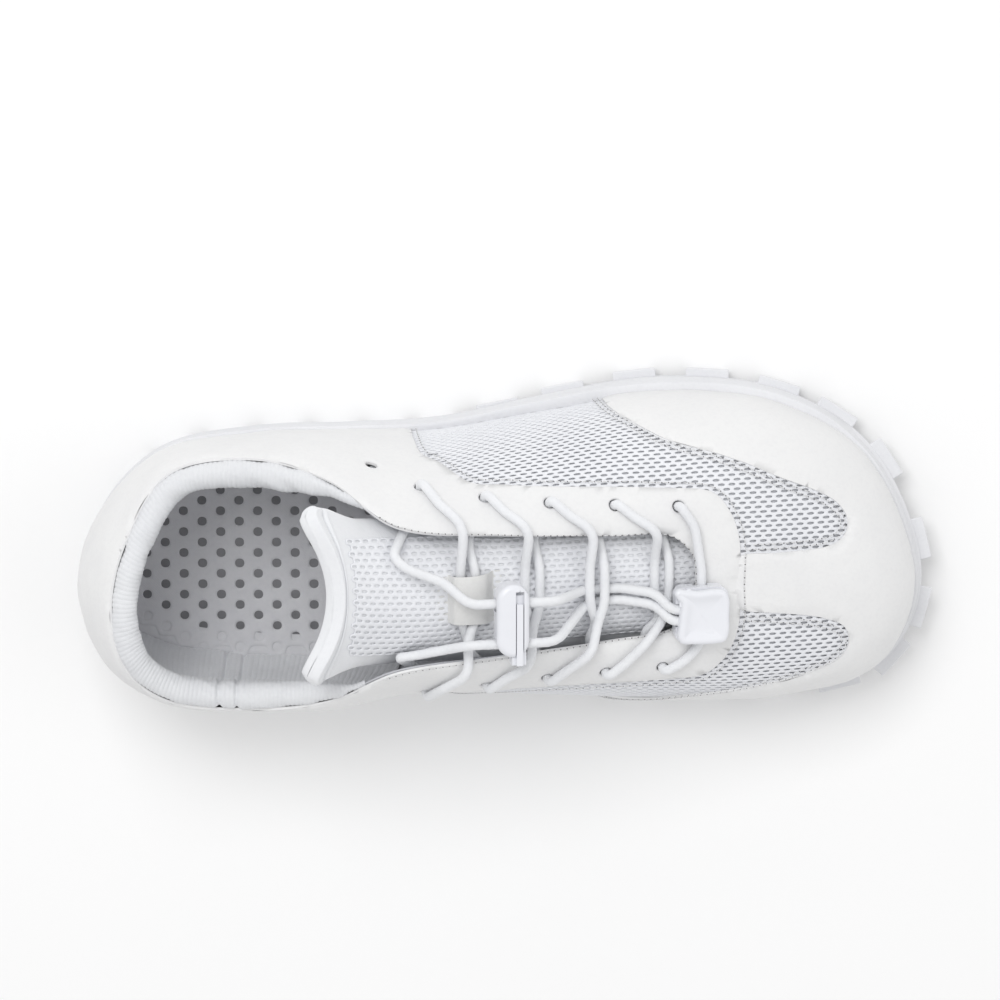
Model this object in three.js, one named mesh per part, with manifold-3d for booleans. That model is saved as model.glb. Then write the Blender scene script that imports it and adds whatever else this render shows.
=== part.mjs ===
// A left sports shoe with a lugged sole, a padded collar and a quick-lacing system.
// Millimetres, +X toward the toe, +Y toward the outer side of the foot, +Z up.
// The design frame has x = 0 at the heel's rearmost point and z = 0 on the ground;
// the finished group is moved so that its origin is the bottom centre of its box.

import * as THREE from "three";
import { mergeVertices } from "three/addons/utils/BufferGeometryUtils.js";
import Module from "manifold-3d";

const wasm = await Module();
wasm.setup();

// ---------------------------------------------------------------- driving dimensions
const SHOE_LENGTH = 270;
const WIDTH_SCALE = 1; // 1 is a wide-fitting last, 97 mm across the ball
const COLLAR_HEIGHT = 73.5; // top edge of the leather at the heel, above the ground
const CLEARANCE = 0.3; // between faces that touch on the real shoe

const LUG_DEPTH = 3.5;
const SOLE_THICKNESS = 3; // rubber under the foot, without the lugs
const RIM_THICKNESS = 2.2; // the raised edge band of the sole
const RIM_HEIGHT = 7.5; // above the sole's upper face
const TOE_RIM_THICKNESS = 0.9;
const TOE_RIM_DROP = 2.5; // the band is lower round the toe, where the lugs stand out
const TOE_LUG_EXTRA = 1;
const TOE_SPRING = 7; // how far the toe's underside is clear of the ground
const SPRING_START = 0.72; // share of the length where the toe starts to rise
const BOARD_THICKNESS = 1.2;
const INSOLE_THICKNESS = 4;

const LEATHER = 1.2;
const MESH = 1.2;
const LINING = 0.7;
const FACING = 0.8;
const COUNTER = 1.2;
const PUFF = 0.8;
const COLLAR_ROLL = 3.6; // radius of the padded roll round the ankle

const EYELET_HOLE = 4.2;
const LACE = 3;
const LACE_BEND = 1.9; // centreline radius where the lace turns into a hole

const TONGUE_FACE = 1.2;
const TONGUE_FOAM = 3.6;
const TONGUE_BACK = 0.8;
const TONGUE_HINGE_X = 96; // the tongue is free behind this line
const KEEPER_THICKNESS = 0.5;

const LOCK_LENGTH = 22.6; // body, across the shoe
const LOCK_WIDTH = 10; // along the laces
const LOCK_HEIGHT = 8.5;
const LOCK_PITCH = 10; // degrees, nose down toward the toe
const CORD_SPACING = 12.6; // between the two cord tunnels
const BUTTON_TRAVEL = 2;

const CLIP_LENGTH = 16.5;
const CLIP_WIDTH = 17.5;
const CLIP_PITCH = 9;
const CLIP_BASE_HEIGHT = 5.4;
const CLIP_COVER_HEIGHT = 3.4;
const CLIP_WALL = 1.2;

// ---------------------------------------------------------------- the last, in design coordinates
const KX = SHOE_LENGTH / 270;
const KY = WIDTH_SCALE;
const KZ = COLLAR_HEIGHT / 73.5;
const STATIONS = 20; // 0 heel, 1 to 9 outer side, 10 toe tip, 11 to 19 inner side
const PLATE_TOP = LUG_DEPTH + SOLE_THICKNESS;
const FEATHER_Z = PLATE_TOP + CLEARANCE;

// The line where the upper meets the sole: [x, y] at each station.
const FEATHER = [
  [6.5, -4], [12, 15.5], [29, 32], [58, 38], [87, 39.2], [114, 40.8], [148, 46.8], [186, 52.4],
  [223, 48], [249.5, 31], [264.3, -8], [253.5, -33], [225, -41.4], [188, -42], [150, -40.8],
  [116, -37.2], [88, -35.8], [58, -35], [28, -31], [11, -21.5],
];

// The upper's top edge, round the collar and down the throat: [x, y, z] at each station.
const TOP_EDGE = [
  [14.5, -4, 73.5], [19, 16.5, 70.5], [32.5, 36.8, 61.5], [58, 40.6, 57.5], [82, 35.8, 69],
  [103, 23.6, 80], [135, 19.4, 73], [168, 16.9, 62.6], [187, 15.6, 57.6], [193.6, 9, 56.3],
  [194.6, 0.5, 56.1], [193.6, -8, 56.3], [187.5, -13.6, 57.6], [168, -16.4, 62.6], [135, -19.4, 73],
  [103, -23, 80], [82, -34.6, 69], [57, -40.2, 57.5], [31, -36.4, 62], [18.3, -23.5, 70.5],
];

// How each rib swells: [bulge, lift] at the sole end, [out along x, out along y, drop] at the top.
// The inner side uses the same rows, mirrored.
const SWELL = [
  [10.5, 22, -10, 0, 12], [8.5, 22, -6, 6, 12], [6, 20, -1.5, 4, 12], [4.8, 18, 0, 3.4, 14],
  [4.5, 19, 0, 10, 14], [4.5, 21, 1, 14, 16], [4.8, 22, 4, 19, 13], [5.4, 24, 20, 24, 9],
  [6.2, 26, 36, 21, 8.5], [6.8, 27, 41, 13, 9.5], [7, 28, 42, -2, 10],
];

const place = (x, y, z) => new THREE.Vector3(x * KX, y * KY, z * KZ);
const closedCurve = (points) => new THREE.CatmullRomCurve3(points, true, "centripetal");
const clamp = THREE.MathUtils.clamp;
const lerp = THREE.MathUtils.lerp;
const smooth = THREE.MathUtils.smoothstep;

function toeSpring(x) {
  const start = SPRING_START * SHOE_LENGTH;
  return TOE_SPRING * Math.max(0, (x - start) / (SHOE_LENGTH - start)) ** 2;
}

function outwardAt(points, index) {
  const before = points[(index + STATIONS - 1) % STATIONS];
  const after = points[(index + 1) % STATIONS];
  return new THREE.Vector3(before.y - after.y, after.x - before.x, 0).normalize();
}

const featherPoints = FEATHER.map(([x, y]) => {
  const p = place(x, y, 0);
  p.z = FEATHER_Z + toeSpring(p.x);
  return p;
});
const topPoints = TOP_EDGE.map(([x, y, z]) => place(x, y, z));
const lowHandles = featherPoints.map((p, i) => {
  const [bulge, lift] = SWELL[Math.min(i, STATIONS - i)];
  const raised = new THREE.Vector3(0, 0, lift * KZ);
  return p.clone().addScaledVector(outwardAt(featherPoints, i), bulge).add(raised);
});
const highHandles = topPoints.map((p, i) => {
  const [, , dx, dy, drop] = SWELL[Math.min(i, STATIONS - i)];
  const side = i > STATIONS / 2 ? -1 : 1;
  return p.clone().add(new THREE.Vector3(dx * KX, side * dy * KY, -drop * KZ));
});
const ribCurves = [featherPoints, lowHandles, highHandles, topPoints].map(closedCurve);

// A point of the upper: s runs round the shoe in stations, t from the sole (0) to the top edge (1).
function upperPoint(s, t) {
  const u = (((s / STATIONS) % 1) + 1) % 1;
  const [a, b, c, d] = ribCurves.map((curve) => curve.getPoint(u));
  return new THREE.CubicBezierCurve3(a, b, c, d).getPoint(t);
}

// Any smooth surface with its outward normal, so that layers can be laid at offsets from it.
function layered(surface) {
  const step = 0.004;
  return (s, t, offset) => {
    const t0 = clamp(t, step, 1 - step);
    const ds = surface(s + step, t0).sub(surface(s - step, t0));
    const dt = surface(s, t0 + step).sub(surface(s, t0 - step));
    return surface(s, t).addScaledVector(dt.cross(ds).normalize(), offset);
  };
}
const upperAt = layered(upperPoint);

// ---------------------------------------------------------------- mesh helpers
function isInsideOut(positions, triangles) {
  let volume = 0;
  const [a, b, c] = [new THREE.Vector3(), new THREE.Vector3(), new THREE.Vector3()];
  for (let i = 0; i < triangles.length; i += 3) {
    a.fromArray(positions, triangles[i] * 3);
    b.fromArray(positions, triangles[i + 1] * 3);
    c.fromArray(positions, triangles[i + 2] * 3);
    volume += a.dot(b.cross(c));
  }
  return volume < 0;
}

function solidFrom(positions, triangles) {
  if (isInsideOut(positions, triangles)) {
    triangles.reverse();
  }
  return new wasm.Manifold(
    new wasm.Mesh({
      numProp: 3,
      vertProperties: new Float32Array(positions),
      triVerts: new Uint32Array(triangles),
    }),
  );
}

// Joins rings of points into a closed solid. In every ring, point i lies across from point m - 1 - i,
// and the end caps are ladders between those pairs. Both faces split their quads along the same
// diagonal, so that the faces of two layers stay apart.
function loft(rings, closed = false) {
  const m = rings[0].length;
  const positions = rings.flat().flatMap((p) => [p.x, p.y, p.z]);
  const triangles = [];
  const quad = (a, b, c, d) => triangles.push(a, b, c, a, c, d);
  const last = closed ? rings.length : rings.length - 1;
  for (let r = 0; r < last; r++) {
    const next = (r + 1) % rings.length;
    for (let i = 0; i < m; i++) {
      const j = (i + 1) % m;
      const corners = [r * m + i, r * m + j, next * m + j, next * m + i];
      if (i < m / 2) {
        quad(...corners);
      } else {
        quad(...corners.slice(1), corners[0]);
      }
    }
  }
  if (!closed) {
    const top = (rings.length - 1) * m;
    for (let i = 0; i < m / 2 - 1; i++) {
      const [j, p, q] = [i + 1, m - 1 - i, m - 2 - i];
      quad(i, p, q, j);
      quad(top + i, top + j, top + q, top + p);
    }
  }
  return solidFrom(positions, triangles);
}

// All layers of the upper share one grid of stations and heights, so that their facets stay parallel.
const STATION_STEP = 1 / 3;
const HEIGHT_STEP = 1 / 8;

function gridBetween(from, to, step) {
  const values = [from];
  for (let k = Math.floor(from / step) + 1; k * step < to - step / 8; k++) {
    if (k * step > from + step / 8) {
      values.push(k * step);
    }
  }
  return [...values, to];
}
const stationsBetween = (from, to) => gridBetween(from, to, STATION_STEP);
const heightsBetween = (from, to) => gridBetween(from, to, HEIGHT_STEP);

// A layer of the upper between two offsets, over stations s0 to s1 and heights from to to.
function layer({ s0, s1, from, to, outer, thickness }) {
  const closed = s1 - s0 === STATIONS;
  const stations = stationsBetween(s0, s1);
  const rings = (closed ? stations.slice(0, -1) : stations).map((s) => {
    const heights = heightsBetween(from, to);
    const high = heights.map((t) => upperAt(s, t, outer));
    const low = heights.map((t) => upperAt(s, t, outer - thickness));
    return [...high, ...low.reverse()];
  });
  return loft(rings, closed);
}

function plain(geometry) {
  const bare = geometry.clone();
  bare.deleteAttribute("normal");
  bare.deleteAttribute("uv");
  const merged = mergeVertices(bare, 1e-4);
  return solidFrom([...merged.attributes.position.array], [...merged.index.array]);
}

function prism(outline, depth, z = 0) {
  const shape = new THREE.Shape(outline.map(([x, y]) => new THREE.Vector2(x, y)));
  return plain(new THREE.ExtrudeGeometry(shape, { depth, bevelEnabled: false }).translate(0, 0, z));
}

const box = (w, d, h, x, y, z) => plain(new THREE.BoxGeometry(w, d, h).translate(x, y, z));

function toMesh(name, solid, look) {
  const { numProp, vertProperties, triVerts } = solid.getMesh();
  const geometry = new THREE.BufferGeometry();
  const positions = numProp === 3 ? vertProperties : vertProperties.filter((_, i) => i % numProp < 3);
  geometry.setAttribute("position", new THREE.BufferAttribute(new Float32Array(positions), 3));
  geometry.setIndex([...triVerts]);
  geometry.computeVertexNormals();
  const mesh = new THREE.Mesh(geometry, look);
  mesh.name = name;
  return mesh;
}

// ---------------------------------------------------------------- materials
const look = (color, roughness, metalness = 0) =>
  new THREE.MeshStandardMaterial({ color, roughness, metalness });
const LOOKS = {
  leather: look(0xeceef0, 0.5),
  mesh: look(0xdcdee3, 0.85),
  lining: look(0xd4d6da, 0.9),
  foam: look(0xe6e2d4, 0.95),
  board: look(0xcfccc2, 0.9),
  rubber: look(0xe2e3e9, 0.65),
  insole: look(0xb4b6ba, 0.9),
  stiffener: look(0xf0eee6, 0.7),
  tape: look(0xd8d6d0, 0.8),
  lace: look(0xdddfe3, 0.7),
  plastic: look(0xf2f5f9, 0.3),
  steel: look(0xb8bcc0, 0.3, 1),
};

// ---------------------------------------------------------------- sole
// The plan outline at a distance outside (+) or inside (-) the feather line, one point per step.
const PLAN_STATIONS = stationsBetween(0, STATIONS).slice(0, -1);
function planRing(distance, z) {
  return PLAN_STATIONS.map((s) => {
    const u = s / STATIONS;
    const p = ribCurves[0].getPoint(u);
    const along = ribCurves[0].getTangent(u);
    const out = new THREE.Vector3(-along.y, along.x, 0).normalize();
    const d = typeof distance === "function" ? distance(p) : distance;
    const q = p.clone().addScaledVector(out, d);
    q.z = z + toeSpring(q.x);
    return q;
  });
}

// How far the plate, and the outer faces of its edge lugs, stand out past the feather line.
const towardToe = (p) => smooth(p.x, 0.35 * SHOE_LENGTH, SPRING_START * SHOE_LENGTH);
const soleOverhang = (p) => lerp(3.2, 3.8, towardToe(p));
const roundToe = (p) => smooth(p.x, 0.855 * SHOE_LENGTH, 0.92 * SHOE_LENGTH);
const lugReach = (p) => lerp(4, 6.4, towardToe(p)) + TOE_LUG_EXTRA * roundToe(p);
const EDGE_LUG_COUNT = 34;
const EDGE_LUG_LENGTH = 14;
const EDGE_LUG_WIDTH = 10;
const EDGE_LUG_HEIGHT = LUG_DEPTH + 1.6; // the edge lugs run up the side of the plate

function rimTop(s) {
  const foot = ribCurves[0].getPoint(s / STATIONS);
  const wanted = FEATHER_Z + toeSpring(foot.x) + RIM_HEIGHT - TOE_RIM_DROP * roundToe(foot);
  let [low, high] = [0, 0.6];
  for (let i = 0; i < 24; i++) {
    const middle = (low + high) / 2;
    [low, high] = upperPoint(s, middle).z < wanted ? [middle, high] : [low, middle];
  }
  return low;
}

// A ring beside the upper, at a share of the band's height; thick is a share of the band's thickness.
function rimRing(share, thick, extra = 0) {
  return PLAN_STATIONS.map((s) => {
    const foot = ribCurves[0].getPoint(s / STATIONS);
    const band = lerp(RIM_THICKNESS, TOE_RIM_THICKNESS, roundToe(foot));
    return upperAt(s, share * rimTop(s), CLEARANCE + thick * band + extra);
  });
}

function lug(x, y, length, width, angle, height = LUG_DEPTH + 1, taper = 0.8) {
  const bottom = [[-1, -1], [1, -1], [1, 1], [-1, 1]];
  const ring = (scale, z) =>
    bottom.map(([i, j]) =>
      new THREE.Vector3((i * length * scale) / 2, (j * width * scale) / 2, z)
        .applyAxisAngle(new THREE.Vector3(0, 0, 1), angle)
        .add(new THREE.Vector3(x, y, toeSpring(x))),
    );
  return loft([ring(taper, 0), ring(1, height)]);
}

function edgeLugs() {
  const lugs = [];
  for (let k = 0; k < EDGE_LUG_COUNT; k++) {
    const u = (k + 0.5) / EDGE_LUG_COUNT;
    const p = ribCurves[0].getPoint(u);
    const along = ribCurves[0].getTangent(u);
    const out = new THREE.Vector3(-along.y, along.x, 0).normalize();
    const centre = p.clone().addScaledVector(out, lugReach(p) - EDGE_LUG_WIDTH / 2);
    const turn = Math.atan2(along.y, along.x);
    lugs.push(lug(centre.x, centre.y, EDGE_LUG_LENGTH * KX, EDGE_LUG_WIDTH, turn, EDGE_LUG_HEIGHT));
  }
  return lugs;
}

// Rows of chevron-like blocks across the tread, kept inside the edge lugs.
function treadLugs() {
  const lugs = [];
  const pitch = 17 * KX;
  for (let x = 26 * KX; x < 244 * KX; x += pitch) {
    const row = Math.round(x / pitch);
    for (const y of [-1, 0, 1]) {
      const lift = treadCentre(x) + y * treadHalf(x) * 0.62;
      lugs.push(lug(x + (row % 2) * 2, lift, 9 * KX, treadHalf(x) * 0.4, y * 0.35));
    }
  }
  return lugs;
}

function featherY(x, side) {
  const range = side > 0 ? [0.02, 0.5] : [0.5, 0.98];
  let best = null;
  for (let k = 0; k <= 60; k++) {
    const p = ribCurves[0].getPoint(lerp(range[0], range[1], k / 60));
    if (!best || Math.abs(p.x - x) < Math.abs(best.x - x)) {
      best = p;
    }
  }
  return best.y;
}
const treadCentre = (x) => (featherY(x, 1) + featherY(x, -1)) / 2;
const treadHalf = (x) => (featherY(x, 1) - featherY(x, -1)) / 2 - 9;

function outsole() {
  const body = loft([
    planRing((p) => soleOverhang(p) - 1.2, LUG_DEPTH),
    planRing(soleOverhang, LUG_DEPTH + 2),
    rimRing(0.55, 1, 0.9),
    rimRing(1, 1),
    rimRing(1, 0),
    rimRing(0.5, 0),
    rimRing(0, 0),
    planRing(-1, PLATE_TOP),
  ]);
  return [...edgeLugs(), ...treadLugs()].reduce((sole, block) => sole.add(block), body);
}

function plate(inset, thickness, z) {
  return loft([planRing(-inset, z), planRing(-inset, z + thickness)]);
}

// ---------------------------------------------------------------- upper
const COLLAR_STATION = 4.6; // where the collar ends and the eyestay begins, each side
const MESH_OUTER = -LEATHER - CLEARANCE;
const MESH_INNER = MESH_OUTER - MESH;
const LINING_OUTER = MESH_INNER - CLEARANCE;
const FACING_START = 0.64; // share of the upper's height

// Outline of the quarter and eyestay seen from above, and of the toe cap with its strip and wings.
const EYESTAY_FRONT = 208.4;
const QUARTER_OUTLINE = [
  [-30, 90], [104, 90], [106, 52], [108, 44], [115, 38], [125, 33.6], [136, 32.8], [165, 31.4],
  [189, 30.2], [198, 29.4], [203.5, 25], [207.2, 17.5], [EYESTAY_FRONT, 6.6],
  [EYESTAY_FRONT, -6.6], [207, -18], [203, -25.5], [197, -30.2], [188, -31.4],
  [165, -32.2], [136, -33.6], [125, -34.6], [115, -37.5], [108, -41], [106, -50], [104, -90], [-30, -90],
];
const CAP_OUTLINE = [
  [300, 90], [166, 90], [164, 60], [166, 53], [172.6, 48.9], [183.4, 44.5], [200.6, 39.8], [210.9, 36.3],
  [222.1, 31.2], [233.1, 27.4], [239.9, 21.9], [243.3, 17], [241.3, 11.4], [235.8, 9.4],
  [EYESTAY_FRONT + 0.5, 9], [EYESTAY_FRONT + 0.5, -9.5], [232.6, -12.6], [240.3, -15.4],
  [244.2, -20.5], [242.5, -27], [232.9, -31.8], [222.1, -35.2], [210.7, -37.2], [190, -40.5],
  [172, -42.5], [166, -46], [164, -60], [166, -90], [300, -90],
];
const PUFF_OUTLINE = [
  [300, 90], [232, 90], [230, 40], [236, 20], [238, 0], [236, -20], [230, -40], [232, -90], [300, -90],
];
const scaledOutline = (outline) => outline.map(([x, y]) => [x * KX, y * KY]);

const EYELETS = [
  [189, 24.7], [169.4, 26], [149.3, 27.6], [129.4, 29.7], [109.7, 32.7], [94.6, 38.2],
];
const INNER_EYELETS = [
  [184.5, -26.6], [166.8, -27.4], [148.7, -28.4], [130, -30], [111.1, -32.8], [95, -37.6],
];

// The place on the upper's upper half that lies over a plan point.
function overPlan(x, y) {
  const side = y > 0 ? 0 : STATIONS / 2;
  let best = { s: side + 5, t: 0.8, miss: Infinity };
  let [reachS, reachT] = [5, 0.3];
  for (let round = 0; round < 9; round++) {
    const { s: s0, t: t0 } = best;
    for (let i = -8; i <= 8; i++) {
      for (let j = -8; j <= 8; j++) {
        const s = s0 + (reachS * i) / 8;
        const t = clamp(t0 + (reachT * j) / 8, 0.35, 1);
        const p = upperPoint(s, t);
        const miss = Math.hypot(p.x - x, p.y - y);
        best = miss < best.miss ? { s, t, miss } : best;
      }
    }
    reachS /= 2.6;
    reachT /= 2.6;
  }
  return best;
}

const eyeletPlaces = [EYELETS, INNER_EYELETS].map((side) =>
  side.map(([x, y]) => {
    const { s, t } = overPlan(x * KX, y * KY);
    const centre = upperAt(s, t, 0);
    const normal = upperAt(s, t, 1).sub(centre).normalize();
    return { centre, normal };
  }),
);

function punch(solid) {
  for (const { centre, normal } of eyeletPlaces.flat()) {
    const tool = new THREE.CylinderGeometry(EYELET_HOLE / 2, EYELET_HOLE / 2, 14, 9);
    tool.applyQuaternion(new THREE.Quaternion().setFromUnitVectors(new THREE.Vector3(0, 1, 0), normal));
    tool.translate(centre.x, centre.y, centre.z);
    solid = solid.subtract(plain(tool));
  }
  return solid;
}

function leatherShell() {
  return layer({ s0: 0, s1: STATIONS, from: 0, to: 1, outer: 0, thickness: LEATHER });
}

const TALL = 400; // taller than the shoe, for tools that cut right through
const within = (solid, outline) => solid.intersect(prism(scaledOutline(outline), TALL, -TALL / 2));

function frontLayer(outer, thickness, from, to) {
  return layer({ s0: COLLAR_STATION, s1: STATIONS - COLLAR_STATION, from, to, outer, thickness });
}

// The throat's facing is a strip along the top edge, on the inside, and the lining butts against it.
const eyestayFacing = () => punch(frontLayer(LINING_OUTER, FACING, FACING_START, 0.985));
const vampLining = () => frontLayer(LINING_OUTER, LINING, 0.01, FACING_START - 0.01);

function toePuff() {
  const outer = LINING_OUTER - LINING - CLEARANCE;
  return within(frontLayer(outer, PUFF, 0.04, 0.7), PUFF_OUTLINE);
}

// ---------------------------------------------------------------- collar
const FOAM_START = 0.5;
const COUNTER_TOP = 0.47;
const COUNTER_STATION = 3.1;
const collarSpan = { s0: -COLLAR_STATION + 0.12, s1: COLLAR_STATION - 0.12 };

function rollRadius(s) {
  const beyond = Math.abs(s) / COLLAR_STATION;
  return lerp(COLLAR_ROLL, 1.5, smooth(beyond, 0.7, 1));
}

function foamThickness(s, t) {
  const full = 2 * rollRadius(s);
  return lerp(0.8, full, smooth(t, FOAM_START - 0.02, 0.92));
}

function heelCounter() {
  const outer = -LEATHER - CLEARANCE;
  return layer({
    s0: -COUNTER_STATION, s1: COUNTER_STATION, from: 0.02, to: COUNTER_TOP, outer, thickness: COUNTER,
  });
}

// Points of the padded roll's cross-section: across the rounded top from outside to inside.
function rollArc(s, radius, extra) {
  const outer = -LEATHER - CLEARANCE;
  const middle = upperAt(s, 1, outer - radius);
  const out = upperAt(s, 1, 1).sub(upperAt(s, 1, 0)).normalize();
  const up = upperAt(s, 1, 0).sub(upperAt(s, 0.96, 0)).normalize();
  const arc = [];
  for (let i = 0; i <= 5; i++) {
    const angle = lerp(0.12, Math.PI - 0.12, i / 5);
    arc.push(
      middle.clone()
        .addScaledVector(out, Math.cos(angle) * (radius + extra))
        .addScaledVector(up, Math.sin(angle) * (radius + extra)),
    );
  }
  return arc;
}

function collarFoam() {
  const outer = -LEATHER - CLEARANCE;
  const rings = stationsBetween(collarSpan.s0, collarSpan.s1).map((s) => {
    const heights = heightsBetween(FOAM_START, 0.97);
    const arc = rollArc(s, rollRadius(s), 0);
    const wall = heights.map((t) => upperAt(s, t, outer));
    const inside = heights.map((t) => upperAt(s, t, outer - foamThickness(s, t)));
    return [...wall, ...arc, ...inside.reverse()];
  });
  return loft(rings);
}

function collarLining() {
  const rings = stationsBetween(collarSpan.s0, collarSpan.s1).map((s) => {
    const side = (gap) => {
      const wall = heightsBetween(0.03, 0.96).map((t) => {
        const pad = t > FOAM_START ? foamThickness(s, t) : 0.8;
        return upperAt(s, t, -LEATHER - CLEARANCE - Math.max(pad, COUNTER) - gap);
      });
      return [...wall, ...rollArc(s, rollRadius(s), gap).reverse()];
    };
    return [...side(CLEARANCE), ...side(CLEARANCE + LINING).reverse()];
  });
  return loft(rings);
}

// ---------------------------------------------------------------- tongue
// Centre line of the tongue's upper face, front to top: [x, y, z, half width, arch radius].
const TONGUE_LINE = [
  [203, 0.5, 49.5, 20, 30], [185, 0.5, 54, 22, 29], [160, 0.5, 61.6, 25, 28], [135, 0.5, 70, 24, 27],
  [112, 0.5, 77.6, 21, 25], [TONGUE_HINGE_X, 1.8, 84, 20, 32], [87.5, 3.6, 90, 23, 50],
  [83.5, 4.2, 95.5, 25, 60],
];
const openCurve = (points) => new THREE.CatmullRomCurve3(points, false, "centripetal");
const tongueCurve = openCurve(TONGUE_LINE.map(([x, y, z]) => place(x, y, z)));
const tongueShape = openCurve(
  TONGUE_LINE.map(([, , , half, radius]) => new THREE.Vector3(half * KY, radius * KY, 0)),
);

// A point of the tongue's face: v runs from the front (0) to the top (1), w from inner (0) to outer (1).
function tonguePoint(v, w) {
  const centre = tongueCurve.getPoint(clamp(v, 0, 1));
  const along = tongueCurve.getTangent(clamp(v, 0.001, 0.999));
  const { x: half, y: radius } = tongueShape.getPoint(clamp(v, 0, 1));
  const across = (2 * w - 1) * half;
  const drop = radius - Math.sqrt(radius ** 2 - across ** 2);
  const up = new THREE.Vector3(-along.z, 0, along.x).normalize();
  up.multiplyScalar(up.z < 0 ? -1 : 1);
  const horn = 5 * smooth(v, 0.8, 1) * (Math.abs(2 * w - 1) ** 2.2);
  return centre.add(new THREE.Vector3(0, across, 0)).addScaledVector(up, -drop).addScaledVector(along, horn);
}
const tongueAt = layered(tonguePoint);

const HINGE_V = 5 / (TONGUE_LINE.length - 1);
function tongueSheet(v0, v1, steps, outer, thickness) {
  const rings = [];
  for (let k = 0; k <= steps; k++) {
    const v = lerp(v0, v1, k / steps);
    const across = Array.from({ length: 8 }, (_, j) => j / 7);
    const high = across.map((w) => tongueOffset(v, w, outer));
    const low = across.map((w) => tongueOffset(v, w, outer - thickness));
    rings.push([...high, ...low.reverse()]);
  }
  return loft(rings);
}

function tongueOffset(v, w, offset) {
  const base = tonguePoint(v, w);
  const normal = tongueAt(clamp(v, 0.03, 0.97), clamp(w, 0.02, 0.98), 1)
    .sub(tonguePoint(clamp(v, 0.03, 0.97), clamp(w, 0.02, 0.98)))
    .normalize();
  normal.multiplyScalar(normal.z < 0 ? -1 : 1);
  return base.addScaledVector(normal, offset);
}

// Height of the tongue's face over a plan point, near its middle.
function tongueTop(x, y) {
  let [low, high] = [0, 1];
  for (let i = 0; i < 30; i++) {
    const middle = (low + high) / 2;
    [low, high] = tongueCurve.getPoint(middle).x > x ? [middle, high] : [low, middle];
  }
  const centre = tongueCurve.getPoint(low);
  const half = tongueShape.getPoint(low).x;
  const w = clamp((y - centre.y) / half / 2 + 0.5, 0.02, 0.98);
  return tonguePoint(low, w).z;
}

const TOP_GAP = 0.012; // share of the tongue's length between its fixed and free lengths
function tonguePieces() {
  const depth = TONGUE_FACE + CLEARANCE;
  const layers = [
    ["cover", 0, TONGUE_FACE, LOOKS.mesh],
    ["foam", -depth, TONGUE_FOAM, LOOKS.foam],
    ["lining", -depth - TONGUE_FOAM - CLEARANCE, TONGUE_BACK, LOOKS.lining],
  ];
  return layers.flatMap(([name, outer, thickness, material]) => [
    toMesh(`tongue_${name}`, tongueSheet(0, HINGE_V, 10, outer, thickness), material),
    toMesh(`tongue_top_${name}`, tongueSheet(HINGE_V + TOP_GAP, 0.985, 6, outer, thickness), material),
  ]);
}

// The smooth binding capping the tongue's top edge, standing just off the end of its layers.
function tongueBinding() {
  const depth = TONGUE_FACE + TONGUE_FOAM + TONGUE_BACK + 2 * CLEARANCE;
  const rings = [];
  for (let j = 0; j <= 14; j++) {
    const w = lerp(0.0, 1.0, j / 14);
    const edge = tongueOffset(0.985, w, 0);
    const back = tongueOffset(0.985, w, -depth);
    const along = tonguePoint(1, w).sub(tonguePoint(0.95, w)).normalize();
    const tip = along.clone().multiplyScalar(2.4);
    const gap = along.clone().multiplyScalar(CLEARANCE);
    rings.push([
      edge.clone().add(gap), edge.clone().add(tip).lerp(back.clone().add(tip), 0.25),
      edge.clone().add(tip).lerp(back.clone().add(tip), 0.75), back.clone().add(gap),
    ]);
  }
  return loft(rings);
}

// ---------------------------------------------------------------- lace
const UNDER = LINING_OUTER - FACING - CLEARANCE - LACE / 2; // lace centre beneath the eyestay
const OVER = LACE / 2 + CLEARANCE; // lace centre above a face
const LAY = 0.9; // extra height over the tongue's face
const EDGE_LIFT = 2 * KZ; // extra height where the lace comes over the throat's edge

// A polyline whose corners are rounded to the given radius, or as far as its legs allow.
function roundedPath(knots) {
  const path = [knots[0].point];
  for (let i = 1; i < knots.length - 1; i++) {
    const { point, bend } = knots[i];
    const before = knots[i - 1].point.clone().sub(point);
    const after = knots[i + 1].point.clone().sub(point);
    const angle = Math.PI - before.angleTo(after);
    const wanted = bend * Math.tan(angle / 2);
    const reach = Math.min(wanted, 0.48 * before.length(), 0.48 * after.length());
    const corner = new THREE.QuadraticBezierCurve3(
      point.clone().addScaledVector(before.normalize(), reach), point,
      point.clone().addScaledVector(after.normalize(), reach),
    );
    path.push(...corner.getPoints(angle > 0.7 ? 3 : angle > 0.12 ? 2 : 1));
  }
  path.push(knots[knots.length - 1].point);
  return path;
}

function tube(path, radius, sides = 6) {
  const rings = [];
  let across = new THREE.Vector3(0.13, 0.27, 1);
  for (let i = 0; i < path.length; i++) {
    const ahead = path[Math.min(i + 1, path.length - 1)];
    const behind = path[Math.max(i - 1, 0)];
    const along = ahead.clone().sub(behind).normalize();
    across = across.clone().addScaledVector(along, -across.dot(along)).normalize();
    const other = along.clone().cross(across);
    rings.push(
      Array.from({ length: sides }, (_, k) => {
        const angle = ((k + 0.5) / sides) * 2 * Math.PI;
        return path[i].clone()
          .addScaledVector(across, Math.cos(angle) * radius)
          .addScaledVector(other, Math.sin(angle) * radius);
      }),
    );
  }
  return loft(rings);
}

const knot = (point, bend = 30) => ({ point, bend });
const eyeletKnot = (side, index, offset, bend = LACE_BEND) => {
  const { centre, normal } = eyeletPlaces[side][index];
  return knot(centre.clone().addScaledVector(normal, offset), bend);
};

function edgeKnot(side, x, offset) {
  const sign = side === 0 ? 1 : -1;
  const { s } = overPlan(x * KX, sign * 17.5 * KY);
  const top = upperAt(s, 0.985, offset);
  return knot(top, 8);
}

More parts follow.
